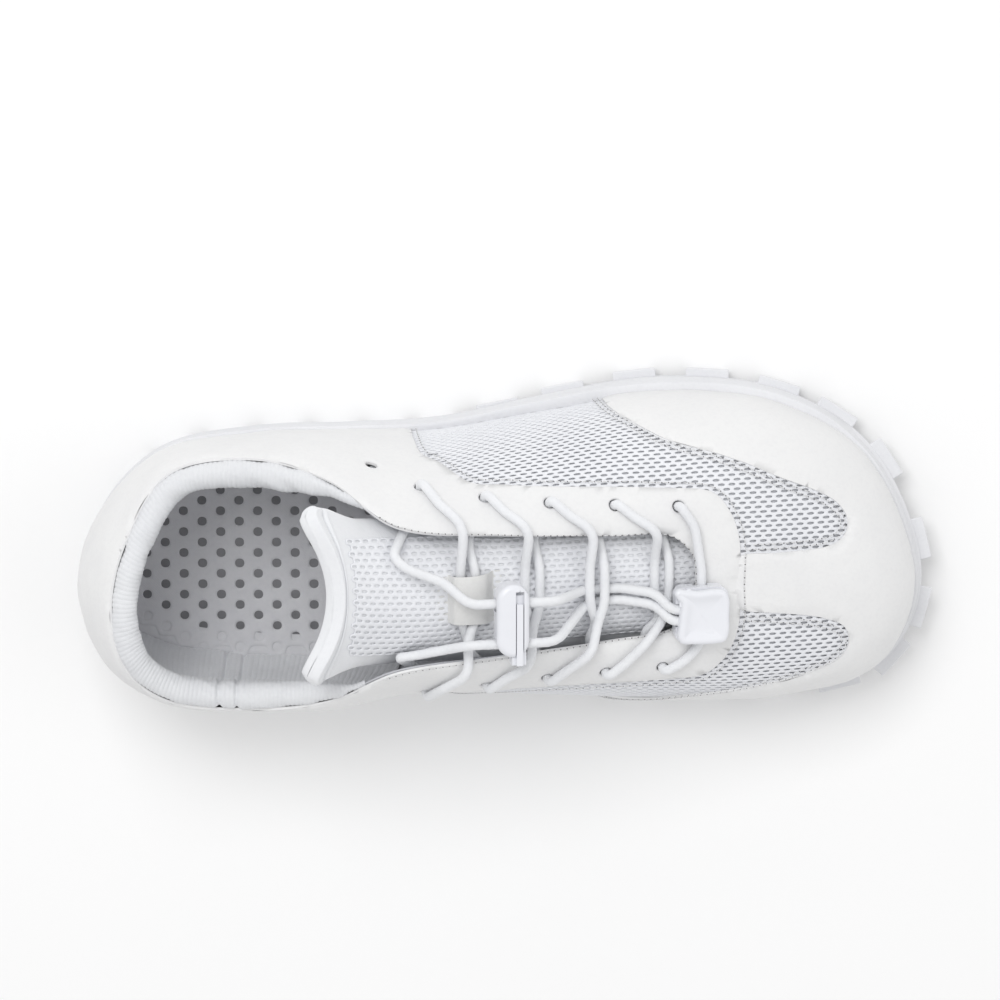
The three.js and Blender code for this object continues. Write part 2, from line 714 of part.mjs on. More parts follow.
// Just before a hole, above the leather.
function approachKnot(side, index) {
  const [x, y] = [EYELETS, INNER_EYELETS][side][index];
  const { s, t } = overPlan((x + 5.5) * KX, y * 0.84 * KY);
  return knot(upperAt(s, t, OVER + EDGE_LIFT / 4), 6);
}

const faceKnot = (x, y, rise) =>
  knot(new THREE.Vector3(x * KX, y * KY, tongueTop(x * KX, y * KY) + OVER + LAY + rise), 12);

// Rungs: from under one side's hole i, across the tongue, over the other side and into hole i + 1.
// lift raises the middle over what passes beneath; crossing is where the two rungs of a pair cross.
const RUNGS = [
  { lift: 0, crossing: -11 },
  { lift: 3.6, crossing: -11 },
  { lift: 0, crossing: -11 },
  { lift: 0, crossing: -13.5 },
];
const RUNG_SPREAD = 2.3;
const RUNG_STACK = 4.6;

function rungKnots(index, fromSide) {
  const toSide = 1 - fromSide;
  const { lift, crossing } = RUNGS[index];
  const start = [EYELETS, INNER_EYELETS][fromSide][index][0];
  const end = [EYELETS, INNER_EYELETS][toSide][index + 1][0];
  const middle = EYELETS[index + 1][0] + 14.5;
  const high = fromSide === 0 ? RUNG_STACK : 0;
  const shift = fromSide === 0 ? RUNG_SPREAD : -RUNG_SPREAD;
  const across = [
    faceKnot(middle + shift, 8, lift),
    faceKnot(middle + shift, crossing + 7.5, lift),
    faceKnot(middle, crossing, Math.max(high, lift * (fromSide === 0 ? 1 : 0.2))),
  ];
  if (fromSide === 1) {
    across.reverse();
  }
  return [
    eyeletKnot(fromSide, index, UNDER),
    edgeKnot(fromSide, start - 4.5, UNDER),
    ...across,
    edgeKnot(toSide, end + 12, OVER + EDGE_LIFT),
    approachKnot(toSide, index + 1),
    eyeletKnot(toSide, index + 1, OVER + 0.2),
  ];
}

// ---------------------------------------------------------------- cord lock
const lockCentre = place(137.5, -5.7, 83.8);
const lockTurn = new THREE.Euler(0, THREE.MathUtils.degToRad(LOCK_PITCH), 0);
const inLock = (x, y, z) => new THREE.Vector3(x, y, z).applyEuler(lockTurn).add(lockCentre);
const PLUNGER_WIDTH = 4.3;
const PLUNGER_X = 1.9; // the plunger lies in the toe half
const PLUNGER_HEIGHT = 5.4;
const PLUNGER_END = CORD_SPACING / 2 + LACE / 2 + CLEARANCE + 1.2;
const PLUNGER_START = -LOCK_LENGTH / 2 - 1.2;
const LOCK_WALL = PLUNGER_END + BUTTON_TRAVEL + CLEARANCE;
const WINDOW = [-3.7, 1.6]; // the spring's window in the plunger
const POST = [0.2, 1.3]; // the body's post that the spring pushes on
const SLIDE_BACK = 4; // the lock's travel along the straight stretch of the lace
const SLIDE_FORWARD = 5;
const SLIDE_SPARE = 4; // straight lace beyond the travel, each way

function pill(width, length, height, y) {
  const shape = new THREE.Shape();
  const radius = width / 2;
  shape.absarc(0, length / 2 - radius, radius, 0, Math.PI);
  shape.absarc(0, -length / 2 + radius, radius, Math.PI, 2 * Math.PI);
  const bevel = 1.6;
  return plain(
    new THREE.ExtrudeGeometry(shape, {
      depth: height - 2 * bevel, bevelThickness: bevel, bevelSize: bevel, bevelOffset: -bevel,
      bevelSegments: 3, curveSegments: 8,
    }).translate(0, y, -height / 2 + bevel),
  );
}

function cordTunnels(clear) {
  const height = LACE + 2 * CLEARANCE;
  return [-1, 1].map((side) =>
    box(3 * LOCK_WIDTH, height + clear, height, 0, (side * CORD_SPACING) / 2 - clear / 2, 0));
}

function lockBody() {
  const end = LOCK_WALL + 1.2;
  let body = pill(LOCK_WIDTH, LOCK_LENGTH, LOCK_HEIGHT, end - LOCK_LENGTH / 2);
  const room = PLUNGER_WIDTH + 2 * CLEARANCE;
  const depth = PLUNGER_HEIGHT + 2 * CLEARANCE;
  const long = LOCK_WALL + 30;
  body = body.subtract(box(room, long, depth, PLUNGER_X, LOCK_WALL - long / 2, 0));
  body = body.subtract(box(2.6, long, LOCK_HEIGHT, PLUNGER_X, LOCK_WALL - 1 - long / 2, LOCK_HEIGHT / 2));
  for (const tunnel of cordTunnels(0.6)) {
    body = body.subtract(tunnel);
  }
  const postY = (POST[0] + POST[1]) / 2;
  const postZ = CLEARANCE - LOCK_HEIGHT / 4;
  return body.add(box(PLUNGER_WIDTH - 1.6, POST[1] - POST[0], LOCK_HEIGHT / 2, PLUNGER_X, postY, postZ));
}

function lockPlunger() {
  const length = PLUNGER_END - PLUNGER_START;
  const middle = (PLUNGER_END + PLUNGER_START) / 2;
  let bar = box(PLUNGER_WIDTH, length, PLUNGER_HEIGHT, PLUNGER_X, middle, 0);
  bar = bar.add(box(2, length - 2.6, 1.8, PLUNGER_X, middle - 1.2, PLUNGER_HEIGHT / 2 + 0.6));
  for (const tunnel of cordTunnels(BUTTON_TRAVEL)) {
    bar = bar.subtract(tunnel);
  }
  const windowY = (WINDOW[0] + WINDOW[1]) / 2;
  const windowLength = WINDOW[1] - WINDOW[0];
  return bar.subtract(box(PLUNGER_WIDTH - 1, windowLength, PLUNGER_HEIGHT + 2, PLUNGER_X, windowY, -1.7));
}

function lockSpring() {
  const [from, to] = [WINDOW[0] + CLEARANCE, POST[0] - CLEARANCE];
  const turns = 3;
  const wire = 0.22;
  const radius = 1.1;
  const steps = turns * 10;
  const path = Array.from({ length: steps + 1 }, (_, k) => {
    const angle = (k / steps) * turns * 2 * Math.PI;
    const y = lerp(from + wire, to - wire, k / steps);
    return new THREE.Vector3(PLUNGER_X + radius * Math.cos(angle), y, radius * Math.sin(angle));
  });
  return tube(path, wire, 6);
}

// ---------------------------------------------------------------- cord end clip
const clipCentre = place(196.2, -8.1, 62.6);
const clipTurn = new THREE.Euler(0, THREE.MathUtils.degToRad(CLIP_PITCH), 0);
const inClip = (x, y, z) => new THREE.Vector3(x, y, z).applyEuler(clipTurn).add(clipCentre);
const CORD_PAIR = 3.6; // between the two lace ends
const CLIP_BAR_ROOM = LACE + 1.6; // the groove that hooks over the front rung

function roundedPlate(width, length, height, z, corner = 3) {
  const shape = new THREE.Shape();
  const [w, l] = [width / 2 - corner, length / 2 - corner];
  shape.absarc(w, l, corner, 0, Math.PI / 2);
  shape.absarc(-w, l, corner, Math.PI / 2, Math.PI);
  shape.absarc(-w, -l, corner, Math.PI, 1.5 * Math.PI);
  shape.absarc(w, -l, corner, 1.5 * Math.PI, 2 * Math.PI);
  const settings = { depth: height, bevelEnabled: false, curveSegments: 5 };
  return plain(new THREE.ExtrudeGeometry(shape, settings).translate(0, 0, z));
}

const CLIP_POCKET = LACE + 2 * CLEARANCE;
function endsPocket() {
  const pocket = box(CLIP_LENGTH - 2 * CLIP_WALL - 2, 3 * LACE, CLIP_POCKET, 0.4, 0, 0);
  const way = box(CLIP_LENGTH, CORD_PAIR + LACE + 2 * CLEARANCE, CLIP_POCKET, -CLIP_LENGTH / 2, 0, 0);
  return pocket.add(way);
}

function clipBase() {
  let base = roundedPlate(CLIP_LENGTH, CLIP_WIDTH, CLIP_BASE_HEIGHT, -CLIP_BASE_HEIGHT - CLEARANCE / 2);
  base = base.subtract(box(CLIP_BAR_ROOM, 40, CLIP_BAR_ROOM - 1.4, 0, 0, -CLIP_BASE_HEIGHT + 0.6));
  return base.subtract(endsPocket());
}

function clipCover() {
  const cover = roundedPlate(CLIP_LENGTH, CLIP_WIDTH, CLIP_COVER_HEIGHT, CLEARANCE / 2);
  return cover.subtract(endsPocket());
}

// ---------------------------------------------------------------- the lace's whole route
const LOCK_KNOT_BEND = 8;
function lockRun(side) {
  const y = (side === 0 ? 1 : -1) * (CORD_SPACING / 2);
  return [
    knot(inLock(-LOCK_WIDTH / 2 - SLIDE_BACK - SLIDE_SPARE, y, 0), LOCK_KNOT_BEND),
    knot(inLock(LOCK_WIDTH / 2 + SLIDE_FORWARD + SLIDE_SPARE, y, 0), LOCK_KNOT_BEND),
  ];
}

function lockToClip(side) {
  const y = side === 0 ? 0.2 : -3.6;
  const entry = (side === 0 ? 1 : -1) * (CORD_PAIR / 2);
  return [
    faceKnot(160, side === 0 ? 0.5 : -4.5, 0.6),
    faceKnot(165, y, 0),
    faceKnot(171, y, 0.4),
    faceKnot(182, y - 1.6, 3.9),
    knot(inClip(-CLIP_LENGTH / 2 - 1.5, entry, 0), 6),
    knot(inClip(CLIP_LENGTH / 2 - CLIP_WALL - 3, entry, 0)),
  ];
}

function collarLoop(side) {
  const points = side === 0
    ? [[101.5, 15, 3], [105.5, 11.5, 4.5], [117, 7.2, 7.5]]
    : [[103, -18, 3], [108, -17.4, 4.5], [118, -14.6, 8]];
  return [
    eyeletKnot(side, 4, UNDER),
    edgeKnot(side, 104.5, UNDER),
    ...points.map(([x, y, rise]) => faceKnot(x, y, rise)),
  ];
}

function lacePath() {
  const half = (side) => {
    const knots = [...lockToClip(side)].reverse();
    knots.push(...lockRun(side).reverse(), ...collarLoop(side).reverse());
    let at = side;
    for (let index = 3; index >= 0; index--) {
      const rung = rungKnots(index, 1 - at).reverse();
      knots.push(...rung);
      at = 1 - at;
    }
    return { knots, at };
  };
  const first = half(0);
  const second = half(1);
  const bar = [
    eyeletKnot(first.at, 0, OVER + 0.4),
    ...frontBar(first.at),
    eyeletKnot(second.at, 0, OVER + 0.4),
  ];
  return roundedPath([...first.knots, ...bar, ...second.knots.reverse()]);
}

function frontBar(fromSide) {
  const points = [[193.5, 18.5], [195.6, 5], [195.6, -18.5], [190.5, -23.5]];
  const knots = points.map(([x, y]) => {
    const { s, t } = overPlan(x * KX, y * KY);
    return knot(upperAt(s, t, OVER + 0.2), 10);
  });
  return fromSide === 0 ? knots : knots.reverse();
}

// The flat tape loop that keeps the top pair of rungs on the tongue.
function laceKeeper() {
  const rise = LACE + LAY + 2 * CLEARANCE + 0.4;
  const line = [[115, 0.4], [118, 0.4], [120.5, rise], [129.5, rise], [132, 0.4], [134.5, 0.4]];
  const halfWidth = 7.5;
  const rings = [-1, -0.33, 0.33, 1].map((side) => {
    const y = side * halfWidth;
    const low = line.map(([x, z]) => new THREE.Vector3(x * KX, y * KY, tongueTop(x * KX, y * KY) + z));
    const high = low.map((p) => p.clone().add(new THREE.Vector3(0, 0, KEEPER_THICKNESS)));
    return [...low, ...high.reverse()];
  });
  return loft(rings);
}

// ---------------------------------------------------------------- assembly
const shoe = new THREE.Group();
const leather = leatherShell();
const boardInset = -LINING_OUTER + LINING + 0.5;
const boardZ = PLATE_TOP + CLEARANCE;
const insoleZ = boardZ + BOARD_THICKNESS + CLEARANCE;

shoe.add(
  toMesh("outsole", outsole(), LOOKS.rubber),
  toMesh("strobel_board", plate(boardInset, BOARD_THICKNESS, boardZ), LOOKS.board),
  toMesh("insole", plate(boardInset + 0.6, INSOLE_THICKNESS, insoleZ), LOOKS.insole),
  toMesh("vamp_mesh", punch(frontLayer(MESH_OUTER, MESH, 0.005, 0.99)), LOOKS.mesh),
  toMesh("vamp_lining", punch(vampLining()), LOOKS.lining),
  toMesh("toe_puff", toePuff(), LOOKS.stiffener),
  toMesh("toe_cap", within(leather, CAP_OUTLINE), LOOKS.leather),
  toMesh("quarter_and_eyestay", punch(within(leather, QUARTER_OUTLINE)), LOOKS.leather),
  toMesh("eyestay_facing", eyestayFacing(), LOOKS.lining),
  toMesh("heel_counter", heelCounter(), LOOKS.stiffener),
  toMesh("collar_foam", collarFoam(), LOOKS.foam),
  toMesh("collar_lining", collarLining(), LOOKS.lining),
  ...tonguePieces(),
  toMesh("tongue_binding", tongueBinding(), LOOKS.leather),
  toMesh("lace_keeper", laceKeeper(), LOOKS.tape),
  toMesh("lace", tube(lacePath(), LACE / 2), LOOKS.lace),
);

const lock = new THREE.Group();
lock.position.copy(lockCentre);
lock.rotation.copy(lockTurn);
lock.add(
  toMesh("cord_lock_body", lockBody(), LOOKS.plastic),
  toMesh("cord_lock_plunger", lockPlunger(), LOOKS.plastic),
  toMesh("cord_lock_spring", lockSpring(), LOOKS.steel),
);

const clip = new THREE.Group();
clip.position.copy(clipCentre);
clip.rotation.copy(clipTurn);
clip.add(
  toMesh("cord_end_base", clipBase(), LOOKS.plastic),
  toMesh("cord_end_cover", clipCover(), LOOKS.plastic),
);
shoe.add(lock, clip);

shoe.updateMatrixWorld(true);
const bounds = new THREE.Box3().setFromObject(shoe, true);
const centre = bounds.getCenter(new THREE.Vector3());
shoe.position.set(-centre.x, -centre.y, -bounds.min.z);

export default shoe;
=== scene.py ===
"""Looks of a left sports shoe with a lugged sole, a padded collar and quick lacing.

Everything is worked out in the design frame, in millimetres: x = 0 at the heel's rearmost point, y toward
the outer side of the foot, z = 0 on the ground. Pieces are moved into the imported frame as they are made.
"""

import logging
import math
from dataclasses import dataclass, field
from enum import Enum

import bmesh
import bpy
import numpy as np
from mathutils import Matrix, Vector, geometry, kdtree
from mathutils.bvhtree import BVHTree


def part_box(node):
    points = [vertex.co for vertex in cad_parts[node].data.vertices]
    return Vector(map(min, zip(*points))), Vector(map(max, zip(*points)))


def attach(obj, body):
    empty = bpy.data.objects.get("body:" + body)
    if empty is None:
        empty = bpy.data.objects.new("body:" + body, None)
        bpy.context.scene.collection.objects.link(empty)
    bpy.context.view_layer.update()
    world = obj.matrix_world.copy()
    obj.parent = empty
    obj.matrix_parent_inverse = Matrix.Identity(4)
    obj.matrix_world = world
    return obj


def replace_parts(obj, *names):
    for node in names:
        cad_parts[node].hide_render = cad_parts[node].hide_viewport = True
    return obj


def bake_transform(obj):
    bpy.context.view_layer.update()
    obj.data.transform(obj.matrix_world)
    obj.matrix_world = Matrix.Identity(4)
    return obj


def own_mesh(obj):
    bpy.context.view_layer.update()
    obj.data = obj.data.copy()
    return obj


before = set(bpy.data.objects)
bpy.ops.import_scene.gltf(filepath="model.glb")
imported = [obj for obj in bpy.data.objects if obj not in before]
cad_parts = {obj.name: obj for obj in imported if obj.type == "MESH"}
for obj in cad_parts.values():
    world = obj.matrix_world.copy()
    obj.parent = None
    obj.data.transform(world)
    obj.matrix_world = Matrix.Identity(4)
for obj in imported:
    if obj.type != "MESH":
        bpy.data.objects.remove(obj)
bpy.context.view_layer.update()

LOG = logging.getLogger("shoe")
MM = 0.001
Array = np.ndarray
Faces = list[tuple[int, ...]]

# ------------------------------------------------------------------ driving dimensions, as in the frame
SHOE_LENGTH = 270.0
CLEARANCE = 0.3
LUG_DEPTH = 3.5
PLATE_TOP = 6.5
RIM_THICKNESS = 2.2
RIM_HEIGHT = 7.5
TOE_RIM_THICKNESS = 0.9
TOE_RIM_DROP = 2.5
TOE_LUG_EXTRA = 1.0
TOE_SPRING = 7.0
SPRING_START = 0.72
INSOLE_TOP = 12.3
LEATHER = 1.2
COLLAR_ROLL = 3.6
COLLAR_STATION = 4.6
EYELET_HOLE = 4.2
LACE = 3.0
LACE_BEND = 1.9
KEEPER_START = 115.0
KEEPER_HALF_WIDTH = 7.5
STATIONS = 20
LINING_OUTER = -3.0
UNDER = LINING_OUTER - 0.8 - CLEARANCE - LACE / 2
OVER = LACE / 2 + CLEARANCE
LAY = 0.9

FEATHER = [
    [6.5, -4], [12, 15.5], [29, 32], [58, 38], [87, 39.2], [114, 40.8], [148, 46.8], [186, 52.4],
    [223, 48], [249.5, 31], [264.3, -8], [253.5, -33], [225, -41.4], [188, -42], [150, -40.8],
    [116, -37.2], [88, -35.8], [58, -35], [28, -31], [11, -21.5],
]
TOP_EDGE = [
    [14.5, -4, 73.5], [19, 16.5, 70.5], [32.5, 36.8, 61.5], [58, 40.6, 57.5], [82, 35.8, 69],
    [103, 23.6, 80], [135, 19.4, 73], [168, 16.9, 62.6], [187, 15.6, 57.6], [193.6, 9, 56.3],
    [194.6, 0.5, 56.1], [193.6, -8, 56.3], [187.5, -13.6, 57.6], [168, -16.4, 62.6], [135, -19.4, 73],
    [103, -23, 80], [82, -34.6, 69], [57, -40.2, 57.5], [31, -36.4, 62], [18.3, -23.5, 70.5],
]
# How each rib swells: [bulge, lift] at the sole end, [out along x, out along y, drop] at the top.
SWELL = [
    [10.5, 22, -10, 0, 12], [8.5, 22, -6, 6, 12], [6, 20, -1.5, 4, 12], [4.8, 18, 0, 3.4, 14],
    [4.5, 19, 0, 10, 14], [4.5, 21, 1, 14, 16], [4.8, 22, 4, 19, 13], [5.4, 24, 20, 24, 9],
    [6.2, 26, 36, 21, 8.5], [6.8, 27, 41, 13, 9.5], [7, 28, 42, -2, 10],
]
# Centre line of the tongue's upper face, front to top: [x, y, z, half width, arch radius].
TONGUE_LINE = [
    [203, 0.5, 49.5, 20, 30], [185, 0.5, 54, 22, 29], [160, 0.5, 61.6, 25, 28], [135, 0.5, 70, 24, 27],
    [112, 0.5, 77.6, 21, 25], [96, 1.8, 84, 20, 32], [87.5, 3.6, 90, 23, 50], [83.5, 4.2, 95.5, 25, 60],
]
EYELETS = [[189, 24.7], [169.4, 26], [149.3, 27.6], [129.4, 29.7], [109.7, 32.7], [94.6, 38.2]]
INNER_EYELETS = [
    [184.5, -26.6], [166.8, -27.4], [148.7, -28.4], [130, -30], [111.1, -32.8], [95, -37.6],
]
# The quarter's front edge over the foot, and the toe cap's edge, in plan. Both start and end at the sole.
QUARTER_EDGE = [
    [115, 38], [125, 33.6], [136, 32.8], [165, 31.4], [189, 30.2], [198, 29.2], [203.5, 25],
    [207.2, 17.5], [208.4, 6.6], [208.4, -6.6], [207, -18], [203, -25.5], [197, -30.2], [188, -31.4],
    [165, -32.2], [136, -33.6], [125, -34.6], [115, -37.5],
]
QUARTER_FOOT = [[105.5, 0.0], [106, 0.16], [107, 0.32], [109.5, 0.48]]
CAP_EDGE = [
    [172.6, 48.9], [183.4, 44.5], [200.6, 39.8], [210.9, 36.3], [222.1, 31.2], [233.1, 26.6],
    [240.2, 21.6], [242.6, 16.4], [240.4, 11.6], [235, 9.4], [220, 8.6], [210, 8.6], [208.3, 7.8],
    [208.3, -8.6], [210, -9.4], [220, -10.6], [232.6, -12.6], [240.3, -15.6], [243.4, -20.5],
    [241.6, -26.4], [232.9, -31.4], [222.1, -34.9], [210.7, -37.2], [190, -40.5],
]
CAP_FOOT = [[165.5, 0.0], [166, 0.12], [168, 0.26]]


def frame_origin() -> Array:
    """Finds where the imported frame's origin lies in the design frame, from the lace keeper's own box.

    Returns:
        The origin in millimetres.
    """
    low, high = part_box("lace_keeper")
    return np.array([KEEPER_START - low.x / MM, KEEPER_HALF_WIDTH - high.y / MM, 0.0])


ORIGIN = frame_origin()


def in_frame(point: list[float] | Array) -> tuple[float, ...]:
    """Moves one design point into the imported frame.

    Args:
        point: x, y and z in millimetres.

    Returns:
        x, y and z in metres.
    """
    return tuple((np.asarray(point, float) - ORIGIN) * MM)


def unit(vectors: Array) -> Array:
    """Scales vectors to length 1.

    Args:
        vectors: an array whose last axis holds x, y and z.

    Returns:
        An array of the same shape.
    """
    return vectors / np.maximum(np.linalg.norm(vectors, axis=-1, keepdims=True), 1e-12)


def ease(value: Array | float, low: float, high: float) -> Array | float:
    """A smooth step from 0 at low to 1 at high.

    Args:
        value: what is compared with the two ends.
        low: where the step starts.
        high: where it ends.

    Returns:
        The step's height, of the same shape as value.
    """
    share = np.clip((value - low) / (high - low), 0, 1)
    return share * share * (3 - 2 * share)


def mix(a: Array | float, b: Array | float, share: Array | float) -> Array | float:
    """A value between two others.

    Args:
        a: the value at share 0.
        b: the value at share 1.
        share: how far from a to b.

    Returns:
        The value between.
    """
    return a + (b - a) * share


def ripple(points: Array, size: float, seed: float = 0.0) -> Array:
    """Soft irregular waves over space, the same on every run.

    Args:
        points: places in millimetres.
        size: the waves' typical length in millimetres.
        seed: moves the pattern.

    Returns:
        A height from about -1 to 1 for each point.
    """
    total = np.zeros(points.shape[:-1])
    for k, (turn, weight) in enumerate([(0.3, 0.5), (1.7, 0.3), (2.9, 0.2), (4.4, 0.2)]):
        way = np.array([math.cos(turn + seed), math.sin(turn * 1.3 + seed), math.cos(turn * 2.1)])
        bend = np.sin(points @ (way[::-1] * 1.7 / size) + k)
        total += weight * np.sin(points @ (way * 2 * math.pi / size) * (1 + 0.23 * k) + 1.6 * bend + seed)
    return total


# ------------------------------------------------------------------ curves and surfaces
class SmoothCurve:
    """A centripetal curve through points, open or closed."""

    def __init__(self, points: list[list[float]] | Array, closed: bool) -> None:
        """Keeps the points with their neighbours at both ends.

        Args:
            points: the points that the curve runs through.
            closed: whether it returns to the first point.
        """
        base = np.asarray(points, float)
        self.count = len(base) if closed else len(base) - 1
        if closed:
            self.points = np.vstack([base[-1:], base, base[:2]])
        else:
            self.points = np.vstack([2 * base[:1] - base[1:2], base, 2 * base[-1:] - base[-2:-1]])
        self.closed = closed

    def at(self, u: Array | float) -> Array:
        """Points of the curve.

        Args:
            u: places along it, from 0 to 1.

        Returns:
            One point for each place.
        """
        u = np.asarray(u, float)
        along = ((u % 1.0) if self.closed else np.clip(u, 0, 1)) * self.count
        index = np.minimum(np.floor(along).astype(int), self.count - 1)
        w = (along - index)[..., None]
        p0, p1, p2, p3 = (self.points[index + k] for k in range(4))

        def spacing(a: Array, b: Array) -> Array:
            """The knot spacing between two points.

            Args:
                a: the first points.
                b: the second points.

            Returns:
                The spacing, or 1 where the points coincide.
            """
            gap = np.sum((a - b) ** 2, axis=-1, keepdims=True) ** 0.25
            return np.where(gap < 1e-4, 1.0, gap)

        d0, d1, d2 = spacing(p0, p1), spacing(p1, p2), spacing(p2, p3)
        m1 = ((p1 - p0) / d0 - (p2 - p0) / (d0 + d1) + (p2 - p1) / d1) * d1
        m2 = ((p2 - p1) / d1 - (p3 - p1) / (d1 + d2) + (p3 - p2) / d2) * d1
        cubic = 2 * p1 - 2 * p2 + m1 + m2
        square = -3 * p1 + 3 * p2 - 2 * m1 - m2
        return p1 + w * (m1 + w * (square + w * cubic))

    def way(self, u: Array | float) -> Array:
        """Directions of the curve.

        Args:
            u: places along it, from 0 to 1.

        Returns:
            One unit vector for each place.
        """
        return unit(self.at(np.asarray(u) + 1e-4) - self.at(np.asarray(u) - 1e-4))


def toe_spring(x: Array | float) -> Array | float:
    """How far the sole has risen from the ground.

    Args:
        x: distance from the heel in millimetres.

    Returns:
        The rise in millimetres.
    """
    start = SPRING_START * SHOE_LENGTH
    return TOE_SPRING * np.maximum(0, (x - start) / (SHOE_LENGTH - start)) ** 2


def round_toe(x: Array | float) -> Array | float:
    """How far round the toe a place is, where the sole's band is thin and its lugs stand out.

    Args:
        x: distance from the heel in millimetres.

    Returns:
        0 behind the toe, rising to 1 at it.
    """
    return ease(x, 0.855 * SHOE_LENGTH, 0.92 * SHOE_LENGTH)


class Last:
    """The upper's outer face: s runs round the shoe in stations, t from the sole (0) to the top edge (1)."""

    def __init__(self) -> None:
        """Builds the four control curves and a search grid."""
        feather = np.array([[x, y, PLATE_TOP + CLEARANCE + toe_spring(x)] for x, y in FEATHER])
        top = np.array(TOP_EDGE, float)
        low, high = feather.copy(), top.copy()
        for i in range(STATIONS):
            bulge, lift, dx, dy, drop = SWELL[min(i, STATIONS - i)]
            before, after = feather[i - 1], feather[(i + 1) % STATIONS]
            out = unit(np.array([before[1] - after[1], after[0] - before[0], 0.0]))
            low[i] += bulge * out + np.array([0, 0, lift])
            side = -1 if i > STATIONS / 2 else 1
            high[i] += np.array([dx, side * dy, -drop])
        self.curves = [SmoothCurve(points, closed=True) for points in (feather, low, high, top)]
        s, t = np.meshgrid(np.arange(0, STATIONS, 0.05), np.linspace(0.3, 1, 71), indexing="ij")
        self.search = (s.ravel(), t.ravel(), self.point(s.ravel(), t.ravel()))

    def point(self, s: Array | float, t: Array | float) -> Array:
        """Points of the face.

        Args:
            s: stations.
            t: shares of the height.

        Returns:
            Points in millimetres.
        """
        s, t = np.broadcast_arrays(np.asarray(s, float), np.asarray(t, float))
        a, b, c, d = (curve.at(s / STATIONS) for curve in self.curves)
        t = t[..., None]
        r = 1 - t
        return r**3 * a + 3 * r**2 * t * b + 3 * r * t**2 * c + t**3 * d

    def frame_at(self, s: Array | float, t: Array | float) -> tuple[Array, Array, Array]:
        """Directions of the face.

        Args:
            s: stations.
            t: shares of the height.

        Returns:
            The change per station, the change per height and the outward normal.
        """
        step = 0.004
        t0 = np.clip(t, step, 1 - step)
        ds = (self.point(np.asarray(s) + step, t0) - self.point(np.asarray(s) - step, t0)) / (2 * step)
        dt = (self.point(s, t0 + step) - self.point(s, t0 - step)) / (2 * step)
        return ds, dt, unit(np.cross(dt, ds))

    def at(self, s: Array | float, t: Array | float, offset: Array | float = 0.0) -> Array:
        """Points at a distance outside the face.

        Args:
            s: stations.
            t: shares of the height.
            offset: millimetres outward.

        Returns:
            Points in millimetres.
        """
        s, t = np.broadcast_arrays(np.asarray(s, float), np.asarray(t, float))
        return self.point(s, t) + self.frame_at(s, t)[2] * np.asarray(offset)[..., None]

    def over_plan(self, x: float, y: float) -> tuple[float, float]:
        """The place of the face that lies over a plan point.

        Args:
            x: millimetres from the heel.
            y: millimetres toward the outer side.

        Returns:
            The station and the share of the height.
        """
        s_all, t_all, points = self.search
        best = int(np.argmin((points[:, 0] - x) ** 2 + (points[:, 1] - y) ** 2))
        s, t = float(s_all[best]), float(t_all[best])
        for _ in range(4):
            ds, dt, _ = self.frame_at(s, t)
            miss = np.array([x, y]) - self.point(s, t)[:2]
            move = np.linalg.lstsq(np.array([ds[:2], dt[:2]]).T, miss, rcond=None)[0]
            s, t = s + float(np.clip(move[0], -0.1, 0.1)), float(np.clip(t + move[1], 0.3, 1))
        return s, t

    def on_side(self, x: float, t: float, side: int) -> tuple[float, float]:
        """The place at a height share where the side wall passes x.

        Args:
            x: millimetres from the heel.
            t: share of the height.
            side: 1 for the outer side, -1 for the inner.

        Returns:
            The station and the share of the height.
        """
        s = np.linspace(1, 9.5, 400) if side > 0 else np.linspace(19, 10.5, 400)
        return float(np.interp(x, self.point(s, t)[:, 0], s)), t

    def plan_ring(self, s: Array, distance: Array | float, z: Array | float) -> Array:
        """The sole's plan outline at a distance outside the feather line.

        Args:
            s: stations.
            distance: millimetres outward.
            z: height before the toe's rise.

        Returns:
            Points in millimetres.
        """
        base, way = self.curves[0].at(s / STATIONS), self.curves[0].way(s / STATIONS)
        out = unit(np.stack([-way[:, 1], way[:, 0], 0 * way[:, 0]], axis=-1))
        ring = base + out * np.broadcast_to(distance, s.shape)[:, None]
        ring[:, 2] = z + toe_spring(ring[:, 0])
        return ring

    def rim_top(self, s: Array) -> Array:
        """The height share that the sole's edge band reaches.

        Args:
            s: stations.

        Returns:
            One share for each station.
        """
        x = self.curves[0].at(s / STATIONS)[:, 0]
        wanted = PLATE_TOP + CLEARANCE + toe_spring(x) + RIM_HEIGHT - TOE_RIM_DROP * round_toe(x)
        low, high = np.zeros_like(s), np.full_like(s, 0.6)
        for _ in range(20):
            middle = (low + high) / 2
            short = self.point(s, middle)[:, 2] < wanted
            low, high = np.where(short, middle, low), np.where(short, high, middle)
        return low


LAST = Last()


# ------------------------------------------------------------------ meshes
def grid_faces(rows: int, columns: int, closed: bool = False) -> Faces:
    """Quads over points laid out in rows.

    Args:
        rows: how many rows.
        columns: how many points in a row.
        closed: whether the last row joins the first.

    Returns:
        The faces.
    """
    faces = []
    for i in range(rows if closed else rows - 1):
        j = (i + 1) % rows
        for k in range(columns - 1):
            faces.append((i * columns + k, j * columns + k, j * columns + k + 1, i * columns + k + 1))
    return faces


def tube_faces(rings: int, sides: int) -> Faces:
    """Quads round a tube, with both ends closed.

    Args:
        rings: how many rings.
        sides: points in a ring.

    Returns:
        The faces.
    """
    faces = [
        (i * sides + k, i * sides + (k + 1) % sides, (i + 1) * sides + (k + 1) % sides, (i + 1) * sides + k)
        for i in range(rings - 1)
        for k in range(sides)
    ]
    last = (rings - 1) * sides
    return [*faces, tuple(reversed(range(sides))), tuple(last + k for k in range(sides))]


